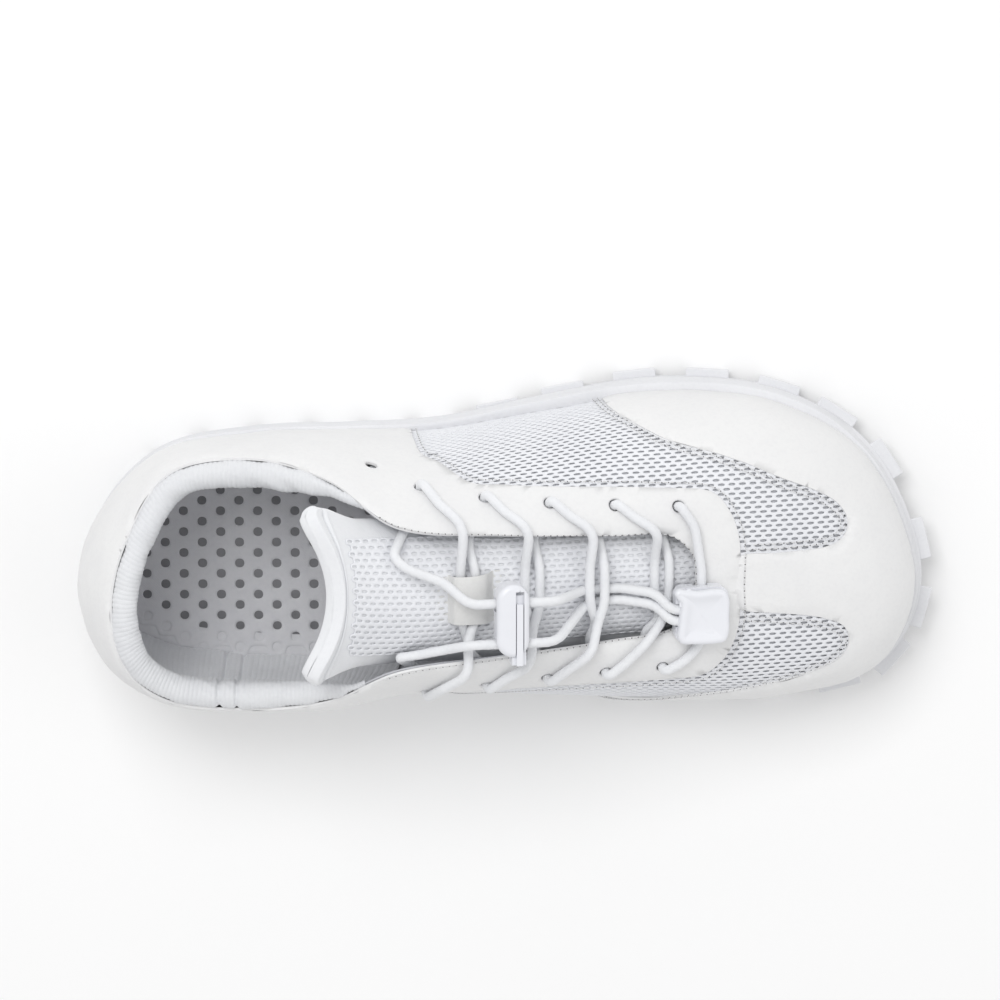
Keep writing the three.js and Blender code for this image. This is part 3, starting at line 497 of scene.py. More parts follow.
@dataclass
class MeshBag:
    """Points and faces of many small bodies that make one piece."""

    points: list[Array] = field(default_factory=list)
    faces: Faces = field(default_factory=list)
    count: int = 0

    def add(self, points: Array, faces: Faces) -> None:
        """Adds one body.

        Args:
            points: its points in millimetres.
            faces: its faces, counted from 0.
        """
        self.points.append(np.asarray(points, float).reshape(-1, 3))
        self.faces.extend(tuple(i + self.count for i in face) for face in faces)
        self.count += len(self.points[-1])

    def all_points(self) -> Array:
        """Every point so far.

        Returns:
            The points in one array.
        """
        return np.vstack(self.points)


def add_piece(
    name: str, points: Array, faces: Faces, finish: "Finish", body: str | None = "shoe", sharp: float = 60.0
) -> bpy.types.Object:
    """Makes an object of the shoe and lets it ride on a body.

    Args:
        name: the piece's name.
        points: design points in millimetres.
        faces: the faces.
        finish: what the piece is made of.
        body: the body that it moves with, or None for a piece that rides on no body.
        sharp: edges that turn by more than this many degrees stay crisp.

    Returns:
        The new object.
    """
    mesh = bpy.data.meshes.new(name)
    moved = (np.asarray(points, float).reshape(-1, 3) - ORIGIN) * MM
    mesh.from_pydata(moved.tolist(), [], faces)
    mesh.polygons.foreach_set("use_smooth", [True] * len(mesh.polygons))
    mesh.set_sharp_from_angle(angle=math.radians(sharp))
    obj = bpy.data.objects.new(name, mesh)
    bpy.context.scene.collection.objects.link(obj)
    obj.data.materials.append(finish.material())
    if body:
        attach(obj, body)
    return obj


def tidy_normals(obj: bpy.types.Object, weld: float = 0.0) -> None:
    """Turns a closed piece's faces outward, and joins points that lie together.

    Args:
        obj: the piece.
        weld: the joining distance in millimetres, or 0 for none.
    """
    work = bmesh.new()
    work.from_mesh(obj.data)
    if weld:
        bmesh.ops.remove_doubles(work, verts=work.verts, dist=weld * MM)
    bmesh.ops.recalc_face_normals(work, faces=work.faces)
    work.to_mesh(obj.data)
    work.free()


def modify(obj: bpy.types.Object, kind: str, **settings: object) -> bpy.types.Modifier:
    """Adds a modifier.

    Args:
        obj: the piece.
        kind: Blender's name for the modifier's type.
        **settings: its settings.

    Returns:
        The modifier.
    """
    modifier = obj.modifiers.new(kind.title(), kind)
    for name, value in settings.items():
        setattr(modifier, name, value)
    return modifier


# ------------------------------------------------------------------ shader building
class Value:
    """A socket of a node tree that plain arithmetic works on."""

    def __init__(self, tree: "Tree", socket: bpy.types.NodeSocket) -> None:
        """Keeps the socket.

        Args:
            tree: the tree that the socket is in.
            socket: an output socket.
        """
        self.tree, self.socket = tree, socket

    def _math(self, operation: str, *values: "Value | float") -> "Value":
        """One step of arithmetic.

        Args:
            operation: Blender's name for it.
            *values: its inputs, in order.

        Returns:
            The result.
        """
        return self.tree.node("ShaderNodeMath", {"operation": operation}, dict(enumerate(values)))

    def __add__(self, other: "Value | float") -> "Value":
        """The sum.

        Args:
            other: what is added.

        Returns:
            The sum.
        """
        return self._math("ADD", self, other)

    def __sub__(self, other: "Value | float") -> "Value":
        """The difference.

        Args:
            other: what is taken away.

        Returns:
            The difference.
        """
        return self._math("SUBTRACT", self, other)

    def __mul__(self, other: "Value | float") -> "Value":
        """The product.

        Args:
            other: the factor.

        Returns:
            The product.
        """
        return self._math("MULTIPLY", self, other)

    def __truediv__(self, other: "Value | float") -> "Value":
        """The quotient.

        Args:
            other: the divisor.

        Returns:
            The quotient.
        """
        return self._math("DIVIDE", self, other)

    def __rsub__(self, other: float) -> "Value":
        """The difference from a number.

        Args:
            other: the number.

        Returns:
            The difference.
        """
        return self._math("SUBTRACT", other, self)

    def __rtruediv__(self, other: float) -> "Value":
        """The quotient of a number.

        Args:
            other: the number.

        Returns:
            The quotient.
        """
        return self._math("DIVIDE", other, self)

    __radd__ = __add__
    __rmul__ = __mul__

    def sine(self) -> "Value":
        """The sine of this value.

        Returns:
            The sine.
        """
        return self._math("SINE", self)

    def size(self) -> "Value":
        """This value without its sign.

        Returns:
            The size.
        """
        return self._math("ABSOLUTE", self)

    def between(self, low: float, high: float) -> "Value":
        """This value stretched so that low becomes 0 and high becomes 1, and held there.

        Args:
            low: what becomes 0.
            high: what becomes 1.

        Returns:
            The stretched value.
        """
        return self.tree.node("ShaderNodeMapRange", {}, {0: self, 1: low, 2: high})


class Tree:
    """A material's node tree with one principled surface."""

    def __init__(self, name: str) -> None:
        """Starts a material.

        Args:
            name: its name.
        """
        self.material = bpy.data.materials.new(name)
        self.material.use_nodes = True
        self.nodes, self.links = self.material.node_tree.nodes, self.material.node_tree.links
        self.surface = self.nodes["Principled BSDF"]

    def node(self, kind: str, settings: dict, inputs: dict, output: int | str = 0) -> Value:
        """Adds any node.

        Args:
            kind: Blender's type name.
            settings: attributes to set on it.
            inputs: socket names or numbers, with a Value or a constant for each.
            output: which output to return.

        Returns:
            The chosen output.
        """
        made = self.nodes.new(kind)
        for name, value in settings.items():
            setattr(made, name, value)
        for name, value in inputs.items():
            if isinstance(value, Value):
                self.links.new(value.socket, made.inputs[name])
            else:
                made.inputs[name].default_value = value
        return Value(self, made.outputs[output])

    def place(self) -> Value:
        """The place on the object, in metres.

        Returns:
            A vector.
        """
        return self.node("ShaderNodeTexCoord", {}, {}, "Object")

    def noise(self, scale: float, detail: float = 3.0, rough: float = 0.5) -> Value:
        """Soft noise over the object.

        Args:
            scale: waves per metre.
            detail: how many finer layers.
            rough: the finer layers' strength.

        Returns:
            A value near 0.5.
        """
        inputs = {"Vector": self.place(), "Scale": scale, "Detail": detail, "Roughness": rough}
        return self.node("ShaderNodeTexNoise", {}, inputs)

    def cells(self, scale: float, feature: str = "F1") -> Value:
        """Distances to the cells of a Voronoi pattern.

        Args:
            scale: cells per metre.
            feature: which distance.

        Returns:
            The distance, as a share of a cell.
        """
        settings = {"feature": feature}
        inputs = {"Vector": self.place(), "Scale": scale}
        return self.node("ShaderNodeTexVoronoi", settings, inputs, "Distance")

    def axis(self, name: str) -> Value:
        """One coordinate of the place on the object.

        Args:
            name: X, Y or Z.

        Returns:
            Metres.
        """
        return self.node("ShaderNodeSeparateXYZ", {}, {0: self.place()}, name)

    def two_colours(self, first: tuple, second: tuple, share: Value) -> Value:
        """A colour between two.

        Args:
            first: red, green and blue at share 0.
            second: red, green and blue at share 1.
            share: how far between.

        Returns:
            The colour.
        """
        made = self.nodes.new("ShaderNodeMix")
        made.data_type = "RGBA"
        self.links.new(share.socket, made.inputs["Factor"])
        made.inputs[6].default_value = (*first, 1)
        made.inputs[7].default_value = (*second, 1)
        return Value(self, made.outputs[2])

    def bump(self, height: Value, strength: float, distance: float, under: Value | None = None) -> Value:
        """A raised pattern.

        Args:
            height: the pattern.
            strength: how strong it looks, from 0 to 1.
            distance: the height of 1, in metres.
            under: another bump that this one lies on.

        Returns:
            The normal.
        """
        inputs = {"Height": height, "Strength": strength, "Distance": distance}
        if under:
            inputs["Normal"] = under
        return self.node("ShaderNodeBump", {}, inputs)

    def finish(self, **inputs: object) -> bpy.types.Material:
        """Sets the surface's inputs.

        Args:
            **inputs: socket names with underscores for spaces, with a Value or a constant for each.

        Returns:
            The material.
        """
        for name, value in inputs.items():
            socket = self.surface.inputs[name.replace("_", " ")]
            if isinstance(value, Value):
                self.links.new(value.socket, socket)
            else:
                socket.default_value = value
        return self.material


class Pattern(Enum):
    """How a finish's surface is worked."""

    GRAIN = "grain"
    KNIT = "knit"
    BRAID = "braid"
    WEAVE = "weave"
    MOULDED = "moulded"
    METAL = "metal"


@dataclass(frozen=True)
class Finish:
    """What a piece is made of.

    Attributes:
        name: the material's name.
        slot: the record's material slot, or None.
        light: red, green and blue of the clean surface.
        shade: red, green and blue of its darker patches.
        rough: the roughness.
        pattern: how the surface is worked.
        scale: the pattern's repeats per metre.
        depth: the pattern's height in metres.
        sheen: the soft glow of a fibrous surface.
        coat: the strength of a clear gloss.
    """

    name: str
    slot: str | None
    light: tuple[float, float, float]
    shade: tuple[float, float, float]
    rough: float
    pattern: Pattern
    scale: float
    depth: float
    sheen: float = 0.0
    coat: float = 0.0

    def material(self) -> bpy.types.Material:
        """Gives the material, made once.

        Returns:
            The material.
        """
        found = bpy.data.materials.get(self.name)
        return found or self.build(Tree(self.name))

    def height(self, tree: Tree) -> Value:
        """The small relief of this finish.

        Args:
            tree: the tree to build in.

        Returns:
            The relief's height.
        """
        if self.pattern is Pattern.GRAIN:
            return tree.cells(self.scale, "SMOOTH_F1") * 0.7 + tree.noise(self.scale * 2.2) * 0.5
        if self.pattern in (Pattern.KNIT, Pattern.BRAID):
            slope = 0.6 if self.pattern is Pattern.BRAID else 0.25
            first = ((tree.axis("X") + tree.axis("Y") * slope) * self.scale * 6.283).sine()
            second = ((tree.axis("Y") - tree.axis("X") * slope) * self.scale * 6.283).sine()
            return first.size() * second.size() + tree.noise(self.scale * 1.7) * 0.6
        if self.pattern is Pattern.WEAVE:
            warp = (tree.axis("X") * self.scale * 6.283).sine()
            weft = (tree.axis("Y") * self.scale * 6.283).sine()
            return warp * weft * 0.5 + tree.noise(self.scale * 1.3) * 0.5
        if self.pattern is Pattern.METAL:
            return tree.noise(self.scale, 6, 0.7)
        return tree.noise(self.scale, 4, 0.6)

    def build(self, tree: Tree) -> bpy.types.Material:
        """Builds the node tree.

        Args:
            tree: the tree to build in.

        Returns:
            The material.
        """
        patches = tree.noise(38, 4, 0.55).between(0.38, 0.72)
        specks = tree.noise(self.scale * 0.5, 2).between(0.45, 0.8)
        colour = tree.two_colours(self.light, self.shade, patches * 0.45 + specks * 0.4)
        rough = tree.noise(160, 3).between(0.2, 0.8) * 0.16 + (self.rough - 0.08)
        wide = tree.bump(tree.noise(90, 2), 0.35, self.depth * 1.5)
        fine = tree.bump(self.height(tree), 0.8, self.depth, wide)
        metal = 1.0 if self.pattern is Pattern.METAL else 0.0
        return tree.finish(
            Base_Color=colour, Roughness=rough, Normal=fine, Metallic=metal,
            Sheen_Weight=self.sheen, Coat_Weight=self.coat, Coat_Roughness=0.25,
        )


LEATHER_FINISH = Finish(
    "leather_white", "leather", (0.80, 0.80, 0.80), (0.735, 0.735, 0.745),
    0.5, Pattern.GRAIN, 1500, 0.00005, coat=0.06,
)
YARN = Finish(
    "mesh_yarn", "sandwich_mesh", (0.82, 0.83, 0.86), (0.75, 0.76, 0.80),
    0.8, Pattern.KNIT, 1400, 0.00006, 0.25,
)
MESH_BASE = Finish(
    "mesh_base", "lining", (0.60, 0.61, 0.64), (0.54, 0.55, 0.58),
    0.9, Pattern.WEAVE, 1500, 0.00005, 0.1,
)
RIBBED = Finish(
    "ribbed_knit", "ribbed_lining", (0.78, 0.79, 0.81), (0.71, 0.72, 0.75),
    0.85, Pattern.KNIT, 1700, 0.00008, 0.35,
)
TONGUE_KNIT = Finish(
    "tongue_knit", "tongue_trim", (0.80, 0.81, 0.83), (0.74, 0.75, 0.78),
    0.82, Pattern.WEAVE, 1700, 0.00006, 0.3,
)
INSOLE_CLOTH = Finish(
    "insole_cloth", "insole_fabric", (0.68, 0.68, 0.70), (0.60, 0.60, 0.63),
    0.9, Pattern.WEAVE, 1200, 0.00006, 0.15,
)
INSOLE_DARK = Finish(
    "insole_foam", "foam", (0.26, 0.26, 0.27), (0.2, 0.2, 0.21),
    0.95, Pattern.MOULDED, 900, 0.00005,
)
RUBBER = Finish(
    "sole_rubber", "rubber", (0.75, 0.755, 0.775), (0.68, 0.685, 0.71),
    0.6, Pattern.MOULDED, 1800, 0.00006,
)
TAPE = Finish(
    "keeper_tape", "tape", (0.72, 0.72, 0.71), (0.65, 0.65, 0.64),
    0.82, Pattern.WEAVE, 1600, 0.00008, 0.2,
)
CORD = Finish(
    "lace_cover", "elastic_cord", (0.81, 0.82, 0.84), (0.73, 0.74, 0.77),
    0.75, Pattern.BRAID, 1100, 0.00006, 0.25,
)
PLASTIC = Finish(
    "white_moulding", "white_plastic", (0.78, 0.79, 0.83), (0.75, 0.76, 0.80),
    0.32, Pattern.MOULDED, 700, 0.00001, coat=0.3,
)
STEEL = Finish(
    "spring_wire", "spring_steel", (0.6, 0.61, 0.63), (0.5, 0.5, 0.52),
    0.3, Pattern.METAL, 2500, 0.00001,
)
THREAD = Finish(
    "sewing_thread", "leather", (0.72, 0.72, 0.72), (0.6, 0.6, 0.61),
    0.7, Pattern.BRAID, 2500, 0.00003, 0.2,
)
# Painted shade: a dark colour standing in for the shadow inside each needle hole of the seams.
NEEDLE_HOLE_SHADE = Finish(
    "needle_hole_shade", None, (0.22, 0.215, 0.22), (0.15, 0.15, 0.15),
    0.9, Pattern.MOULDED, 3000, 0.00001,
)


# ------------------------------------------------------------------ the upper's panels
@dataclass
class Edge:
    """A line on the upper's face, as stations and height shares."""

    s: Array
    t: Array

    @classmethod
    def through(cls, places: list[tuple[float, float]], step: float = 1.0) -> "Edge":
        """A smooth line through places, with points about one step apart.

        Args:
            places: stations and height shares.
            step: millimetres between points.

        Returns:
            The line.
        """
        curve = SmoothCurve(np.array(places), closed=False)
        fine = curve.at(np.linspace(0, 1, 1500))
        points = LAST.point(fine[:, 0], fine[:, 1])
        along = np.concatenate([[0], np.cumsum(np.linalg.norm(np.diff(points, axis=0), axis=1))])
        wanted = np.linspace(0, along[-1], max(8, int(along[-1] / step)))
        return cls(np.interp(wanted, along, fine[:, 0]), np.interp(wanted, along, fine[:, 1]))

    def moved(self, distance: float, closed: bool = False) -> "Edge":
        """The line at a distance to its left, seen from outside.

        Args:
            distance: millimetres.
            closed: whether the line is a loop.

        Returns:
            The new line.
        """
        points = LAST.point(self.s, self.t)
        if closed:
            way = unit(np.roll(points, -1, axis=0) - np.roll(points, 1, axis=0))
        else:
            way = unit(np.gradient(points, axis=0))
        ds, dt, normal = LAST.frame_at(self.s, self.t)
        side = np.cross(normal, way) * distance
        moves = np.array([
            np.linalg.lstsq(np.stack([a, b], axis=1), c, rcond=None)[0] for a, b, c in zip(ds, dt, side)
        ])
        return Edge(self.s + moves[:, 0], np.clip(self.t + moves[:, 1], 0, 1))

    def points(self, offset: float = 0.0) -> Array:
        """The line in space.

        Args:
            offset: millimetres outside the face.

        Returns:
            Points in millimetres.
        """
        return LAST.at(self.s, self.t, offset)


def edge_places(foot: list, plan: list, sides: tuple[int, int] = (1, -1)) -> list[tuple[float, float]]:
    """Places of an edge that climbs one side of the shoe, crosses it and goes down the other.

    Args:
        foot: x and height share of the points low on each side, from the sole upward.
        plan: x and y of the points above them.
        sides: the side where it starts and the side where it ends.

    Returns:
        Stations and height shares.
    """
    first = [LAST.on_side(x, t, sides[0]) for x, t in foot]
    last = [LAST.on_side(x, t, sides[1]) for x, t in reversed(foot)]
    return [*first, *(LAST.over_plan(x, y) for x, y in plan), *last]


def inside(loop: Array, points: Array) -> Array:
    """Tells which points lie inside a loop.

    Args:
        loop: the loop's corners, in two dimensions.
        points: the points to test.

    Returns:
        True for each point inside.
    """
    result = np.zeros(len(points), bool)
    x, y = points[:, 0], points[:, 1]
    for (x0, y0), (x1, y1) in zip(loop, np.roll(loop, -1, axis=0)):
        crosses = (y0 > y) != (y1 > y)
        reach = (x1 - x0) * (y - y0) / np.where(y1 == y0, 1e-12, y1 - y0) + x0
        result ^= crosses & (x < reach)
    return result


def near(points: Array, others: Array) -> Array:
    """Distance from each point to the nearest of some others.

    Args:
        points: the points to measure from.
        others: the points to measure to.

    Returns:
        One distance for each point.
    """
    tree = kdtree.KDTree(len(others))
    for i, p in enumerate(others):
        tree.insert(p, i)
    tree.balance()
    return np.array([tree.find(p)[2] for p in points])


def between_points(points: Array, parts: int, closed: bool) -> Array:
    """Adds points along a line.

    Args:
        points: the line's points.
        parts: how many parts each stretch is cut into.
        closed: whether the line is a loop.

    Returns:
        The denser line.
    """
    following = np.roll(points, -1, axis=0) if closed else points[1:]
    starts = points if closed else points[:-1]
    return np.vstack([mix(starts, following, k / parts) for k in range(parts)])


@dataclass
class Panel:
    """A cut piece of leather or cloth laid on the upper, with soft edges and punched holes.

    Attributes:
        name: the piece's name.
        lower: the edge toward the sole, in order of stations.
        upper: the edge toward the top, in order of stations.
        holes: stations and height shares of punched holes.
        finish: what it is made of.
        round_heel: whether it runs right round the heel.
    """

    name: str
    lower: Edge
    upper: Edge
    holes: list[tuple[float, float]]
    finish: Finish
    round_heel: bool

    METRIC = np.array([27.0, 65.0])

    def loops(self) -> list[Edge]:
        """The piece's edges, the outer loop first.

        Returns:
            The loops.
        """
        rise = np.linspace(0, 1, 40)[1:-1] if self.round_heel else np.zeros(0)
        outer = Edge(
            np.concatenate([self.lower.s, rise * 0 + STATIONS, self.upper.s[::-1], rise * 0]),
            np.concatenate([self.lower.t, rise, self.upper.t[::-1], rise[::-1]]),
        )
        return [outer, *(self.hole_loop(s, t) for s, t in self.holes)]

    def hole_loop(self, s: float, t: float) -> Edge:
        """The rim of one punched hole.

        Args:
            s: the hole's station.
            t: its height share.

        Returns:
            The loop.
        """
        ds, dt, normal = LAST.frame_at(s, t)
        across = unit(dt)
        other = np.cross(normal, across)
        turns = np.arange(20) * 2 * math.pi / 20
        rim = (np.outer(np.cos(turns), across) + np.outer(np.sin(turns), other)) * (EYELET_HOLE / 2 - 0.2)
        moves = np.array([np.linalg.lstsq(np.stack([ds, dt], axis=1), p, rcond=None)[0] for p in rim])
        return Edge(s + moves[:, 0], t + moves[:, 1])

    def inner_places(self, loops: list[Edge], rims: Array) -> Array:
        """Places inside the piece, clear of its edges.

        Args:
            loops: the piece's edges.
            rims: points of the edges, in millimetres.

        Returns:
            Stations and height shares.
        """
        s, t = np.meshgrid(np.arange(0.05, STATIONS, 0.085), np.arange(0.01, 1, 0.033), indexing="ij")
        places = np.stack([(s + 0.04 * (np.round(t / 0.033) % 2)).ravel(), t.ravel()], axis=1)
        keep = inside(np.stack([loops[0].s, loops[0].t], axis=1), places)
        for loop in loops[1:]:
            keep &= ~inside(np.stack([loop.s, loop.t], axis=1), places)
        places = places[keep]
        return places[near(LAST.point(places[:, 0], places[:, 1]), rims) > 1.5]

    def build(self) -> bpy.types.Object:
        """Cuts, lays and rounds the piece.

        Returns:
            The piece.
        """
        loops = self.loops()
        rims = np.vstack([loop.points() for loop in loops])
        dense = np.vstack([between_points(loop.points(), 4, True) for loop in loops])
        if self.round_heel:
            heel = LAST.point(np.zeros(400), np.linspace(0.015, 0.985, 400))
            dense = dense[near(dense, heel) > 0.5]
        places = [np.stack([loop.s, loop.t], axis=1) for loop in loops]
        edges, start = [], 0
        for loop in loops:
            count = len(loop.s)
            edges += [(start + k, start + (k + 1) % count) for k in range(count)]
            start += count
        for index, loop in enumerate(loops):
            for distance in (0.2, 0.55):
                ring = loop.moved(distance if index == 0 else -distance, closed=True)
                ring_places = np.stack([ring.s, ring.t], axis=1)
                clear = near(ring.points(), rims) > distance * 0.8
                inner = inside(places[0], ring_places)
                places.append(ring_places[clear & inner])
        places.append(self.inner_places(loops, rims))
        flat = np.vstack(places)
        made = geometry.delaunay_2d_cdt([Vector(p) for p in flat * self.METRIC], edges, [], 0, 1e-5)
        cut = np.array([tuple(v) for v in made[0]]) / self.METRIC
        triangles = np.array(made[2])
        middles = cut[triangles].mean(axis=1)
        keep = inside(np.stack([loops[0].s, loops[0].t], axis=1), middles)
        for loop in loops[1:]:
            keep &= ~inside(np.stack([loop.s, loop.t], axis=1), middles)
        triangles = triangles[keep]
        base = LAST.point(cut[:, 0], cut[:, 1])
        depth = np.interp(near(base, dense), [0, 0.2, 0.55, 1.0], [-0.55, -0.18, -0.03, 0.0])
        points = LAST.at(cut[:, 0], cut[:, 1], depth + 0.22 * ripple(base, 26) + 0.08 * ripple(base, 9, 2))
        walls = MeshBag()
        walls.add(points, [tuple(int(i) for i in face) for face in triangles])
        for loop in loops:
            rim = np.stack([LAST.at(loop.s, loop.t, h) for h in (-0.5, -1.3)], axis=1)
            count = len(loop.s)
            walls.add(rim, grid_faces(count, 2, closed=True))
        obj = add_piece(self.name, walls.all_points(), walls.faces, self.finish, sharp=75)
        tidy_normals(obj, weld=0.06)
        return obj


@dataclass
class Seam:
    """A row of stitches along a line, with dark painted shade at the needle's holes between them.

    Attributes:
        pitch: millimetres from one hole to the next.
        thread: the thread's radius.
    """

    pitch: float = 2.1
    thread: float = 0.19

    def sew(self, line: Array, lift: Array, threads: MeshBag, holes: MeshBag) -> None:
        """Adds the row to two bags of small bodies.

        Args:
            line: points along the seam.
            lift: the surface's outward direction at each.
            threads: takes the stitches.
            holes: takes the dark painted shade of the needle's holes.
        """
        along = np.concatenate([[0], np.cumsum(np.linalg.norm(np.diff(line, axis=0), axis=1))])
        for k in range(int(along[-1] / self.pitch)):
            middle = self.at(line, along, (k + 0.5) * self.pitch)
            start, end = (self.at(line, along, (k + share) * self.pitch) for share in (0.2, 0.8))
            up = unit(self.at(lift, along, (k + 0.5) * self.pitch))
            half = np.linalg.norm(end - start) / 2
            self.lay(threads, (start + end) / 2 + up * 0.03, unit(end - start), up, half)
            # a small dark dimple of painted shade where the needle went through
            hole = self.at(line, along, k * self.pitch)
            self.lay(holes, hole - up * 0.02, unit(middle - hole), up, 0.24, 0.24, 0.1)

    @staticmethod
    def at(values: Array, along: Array, distance: float) -> Array:
        """A value part of the way along a line.

        Args:
            values: one row for each point of the line.
            along: each point's distance from the start.
            distance: where to look.

        Returns:
            The row there.
        """
        return np.array([np.interp(distance, along, values[:, k]) for k in range(values.shape[1])])

    def lay(
        self, bag: MeshBag, centre: Array, way: Array, up: Array, half: float,
        wide: float = 0.0, high: float = 0.0,
    ) -> None:
        """Adds one rounded grain of thread, or a dimple of painted shade at a hole.

        Args:
            bag: takes the body.
            centre: its middle.
            way: its long direction.
            up: the surface's outward direction.
            half: half its length.
            wide: half its width, or 0 for the thread's radius.
            high: half its height, or 0 for the thread's radius.
        """
        across = np.cross(up, way)
        rings = []
        for turn in np.linspace(0.25, math.pi - 0.25, 5):
            angles = np.arange(6) * math.pi / 3
            ring = centre - way * half * math.cos(turn)
            side = np.outer(np.cos(angles), across) * (wide or self.thread)
            rise = np.outer(np.sin(angles), up) * (high or self.thread)
            rings.append(ring + (side + rise) * math.sin(turn))
        bag.add(np.array(rings), tube_faces(5, 6))


@dataclass
class Leather:
    """The quarter with its eyestay, and the toe cap with its strip and wings."""

    cap_rows: tuple[float, ...] = (1.4, 2.9)
    front_rows: tuple[float, ...] = (1.5,)

    def eyelets(self) -> list[tuple[float, float]]:
        """The places of the punched holes.

        Returns:
            Stations and height shares.
        """
        return [LAST.over_plan(x, y) for x, y in EYELETS + INNER_EYELETS]

    def build(self) -> None:
        """Makes both panels and their stitching."""
        quarter_edge = edge_places(QUARTER_FOOT, QUARTER_EDGE)
        front = Edge.through(quarter_edge, 1.1)
        sole_start = Edge.through([(0.0, 0.0), (front.s[0] * 0.5, 0.0), (front.s[0] - 0.02, 0.0)], 2.0)
        sole_end = Edge.through([(front.s[-1] + 0.02, 0.0), (front.s[-1] * 0.5 + 10, 0.0), (20.0, 0.0)], 2.0)
        lower = Edge(*(np.concatenate(parts) for parts in (
            (sole_start.s, front.s, sole_end.s), (sole_start.t, front.t, sole_end.t))))
        top = Edge.through([(k * 0.5, 1.0) for k in range(41)], 1.1)
        quarter = Panel("quarter_leather", lower, top, self.eyelets(), LEATHER_FINISH, True)
        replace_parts(quarter.build(), "quarter_and_eyestay")
        cap = Edge.through(edge_places(CAP_FOOT, CAP_EDGE), 1.0)
        sole = Edge.through([(mix(cap.s[0], cap.s[-1], k / 12), 0.0) for k in range(13)], 2.0)
        panel = Panel("toe_cap_leather", Edge(sole.s[1:-1], sole.t[1:-1]), cap, [], LEATHER_FINISH, False)
        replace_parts(panel.build(), "toe_cap")
        self.stitch(front, cap, top)

    def stitch(self, front: Edge, cap: Edge, top: Edge) -> None:
        """Sews the panels' edges.

        Args:
            front: the quarter's front edge.
            cap: the toe cap's edge.
            top: the upper's top edge.
        """
        threads, holes = MeshBag(), MeshBag()
        rows = [(front, -row, 0.15) for row in self.front_rows]
        rows += [(cap, row, 0.12) for row in self.cap_rows]
        throat = (top.s > COLLAR_STATION + 0.2) & (top.s < STATIONS - COLLAR_STATION - 0.2)
        rows.append((Edge(top.s[throat], top.t[throat]), 2.4, 0.0))
        for edge, distance, margin in rows:
            line = edge.moved(-distance)
            keep = line.t > margin
            if edge is cap:
                x = line.points()[:, 0]
                y = line.points()[:, 1]
                keep &= ~((x < 209.5) & (np.abs(y) < 14))
            line = Edge(line.s[keep], line.t[keep])
            points = line.points()
            breaks = np.where(np.linalg.norm(np.diff(points, axis=0), axis=1) > 6)[0]
            for part in np.split(np.arange(len(points)), breaks + 1):
                if len(part) > 3:
                    s, t = line.s[part], line.t[part]
                    Seam().sew(LAST.at(s, t, 0.02), LAST.frame_at(s, t)[2], threads, holes)
        add_piece("stitch_threads", threads.all_points(), threads.faces, THREAD)
        # The needle holes' dark colour is painted shade, not a material of the shoe.
        add_piece("stitch_needle_holes", holes.all_points(), holes.faces, NEEDLE_HOLE_SHADE)


# ------------------------------------------------------------------ fabrics with real holes
@dataclass
class Lattice:
    """A fabric made of cells with a hole in each, laid by a chart from flat cloth to space.

    Attributes:
        pitch: the cells' length and width, in millimetres.
        hole: the holes' length and width.
    """

    pitch: tuple[float, float] = (3.3, 1.5)
    hole: tuple[float, float] = (2.25, 0.82)

    def build(
        self, chart: "Chart", allowed: "Region", low: tuple[float, float], high: tuple[float, float]
    ) -> MeshBag:
        """Makes the cells.

        Args:
            chart: gives the place in space of a place on the cloth.
            allowed: tells where cells are wanted.
            low: the cloth's lowest corner.
            high: its highest corner.

        Returns:
            The cells' points and faces, with neighbours' points doubled.
        """
        columns = np.arange(low[0], high[0], self.pitch[0])
        rows = np.arange(low[1], high[1], self.pitch[1])
        u, v = np.meshgrid(columns, rows, indexing="ij")
        u = u + (np.round((v - low[1]) / self.pitch[1]) % 2) * self.pitch[0] / 2
        centres = np.stack([u.ravel(), v.ravel()], axis=1)
        centres = centres[allowed(chart(centres))]
        corners = np.array([[-1, -1], [0, -1], [1, -1], [1, 0], [1, 1], [0, 1], [-1, 1], [-1, 0]])
        outer = corners * np.array(self.pitch) / 2
        turns = np.arctan2(corners[:, 1], corners[:, 0])
        inner = np.stack([np.cos(turns) * self.hole[0] / 2, np.sin(turns) * self.hole[1] / 2], axis=1)
        cell = np.vstack([outer, inner])
        places = (centres[:, None, :] + cell[None, :, :]).reshape(-1, 2)
        ring = [(k, (k + 1) % 8, 8 + (k + 1) % 8, 8 + k) for k in range(8)]
        bag = MeshBag()
        faces = [tuple(i + 16 * n for i in face) for n in range(len(centres)) for face in ring]
        bag.add(chart(places), faces)
        return bag


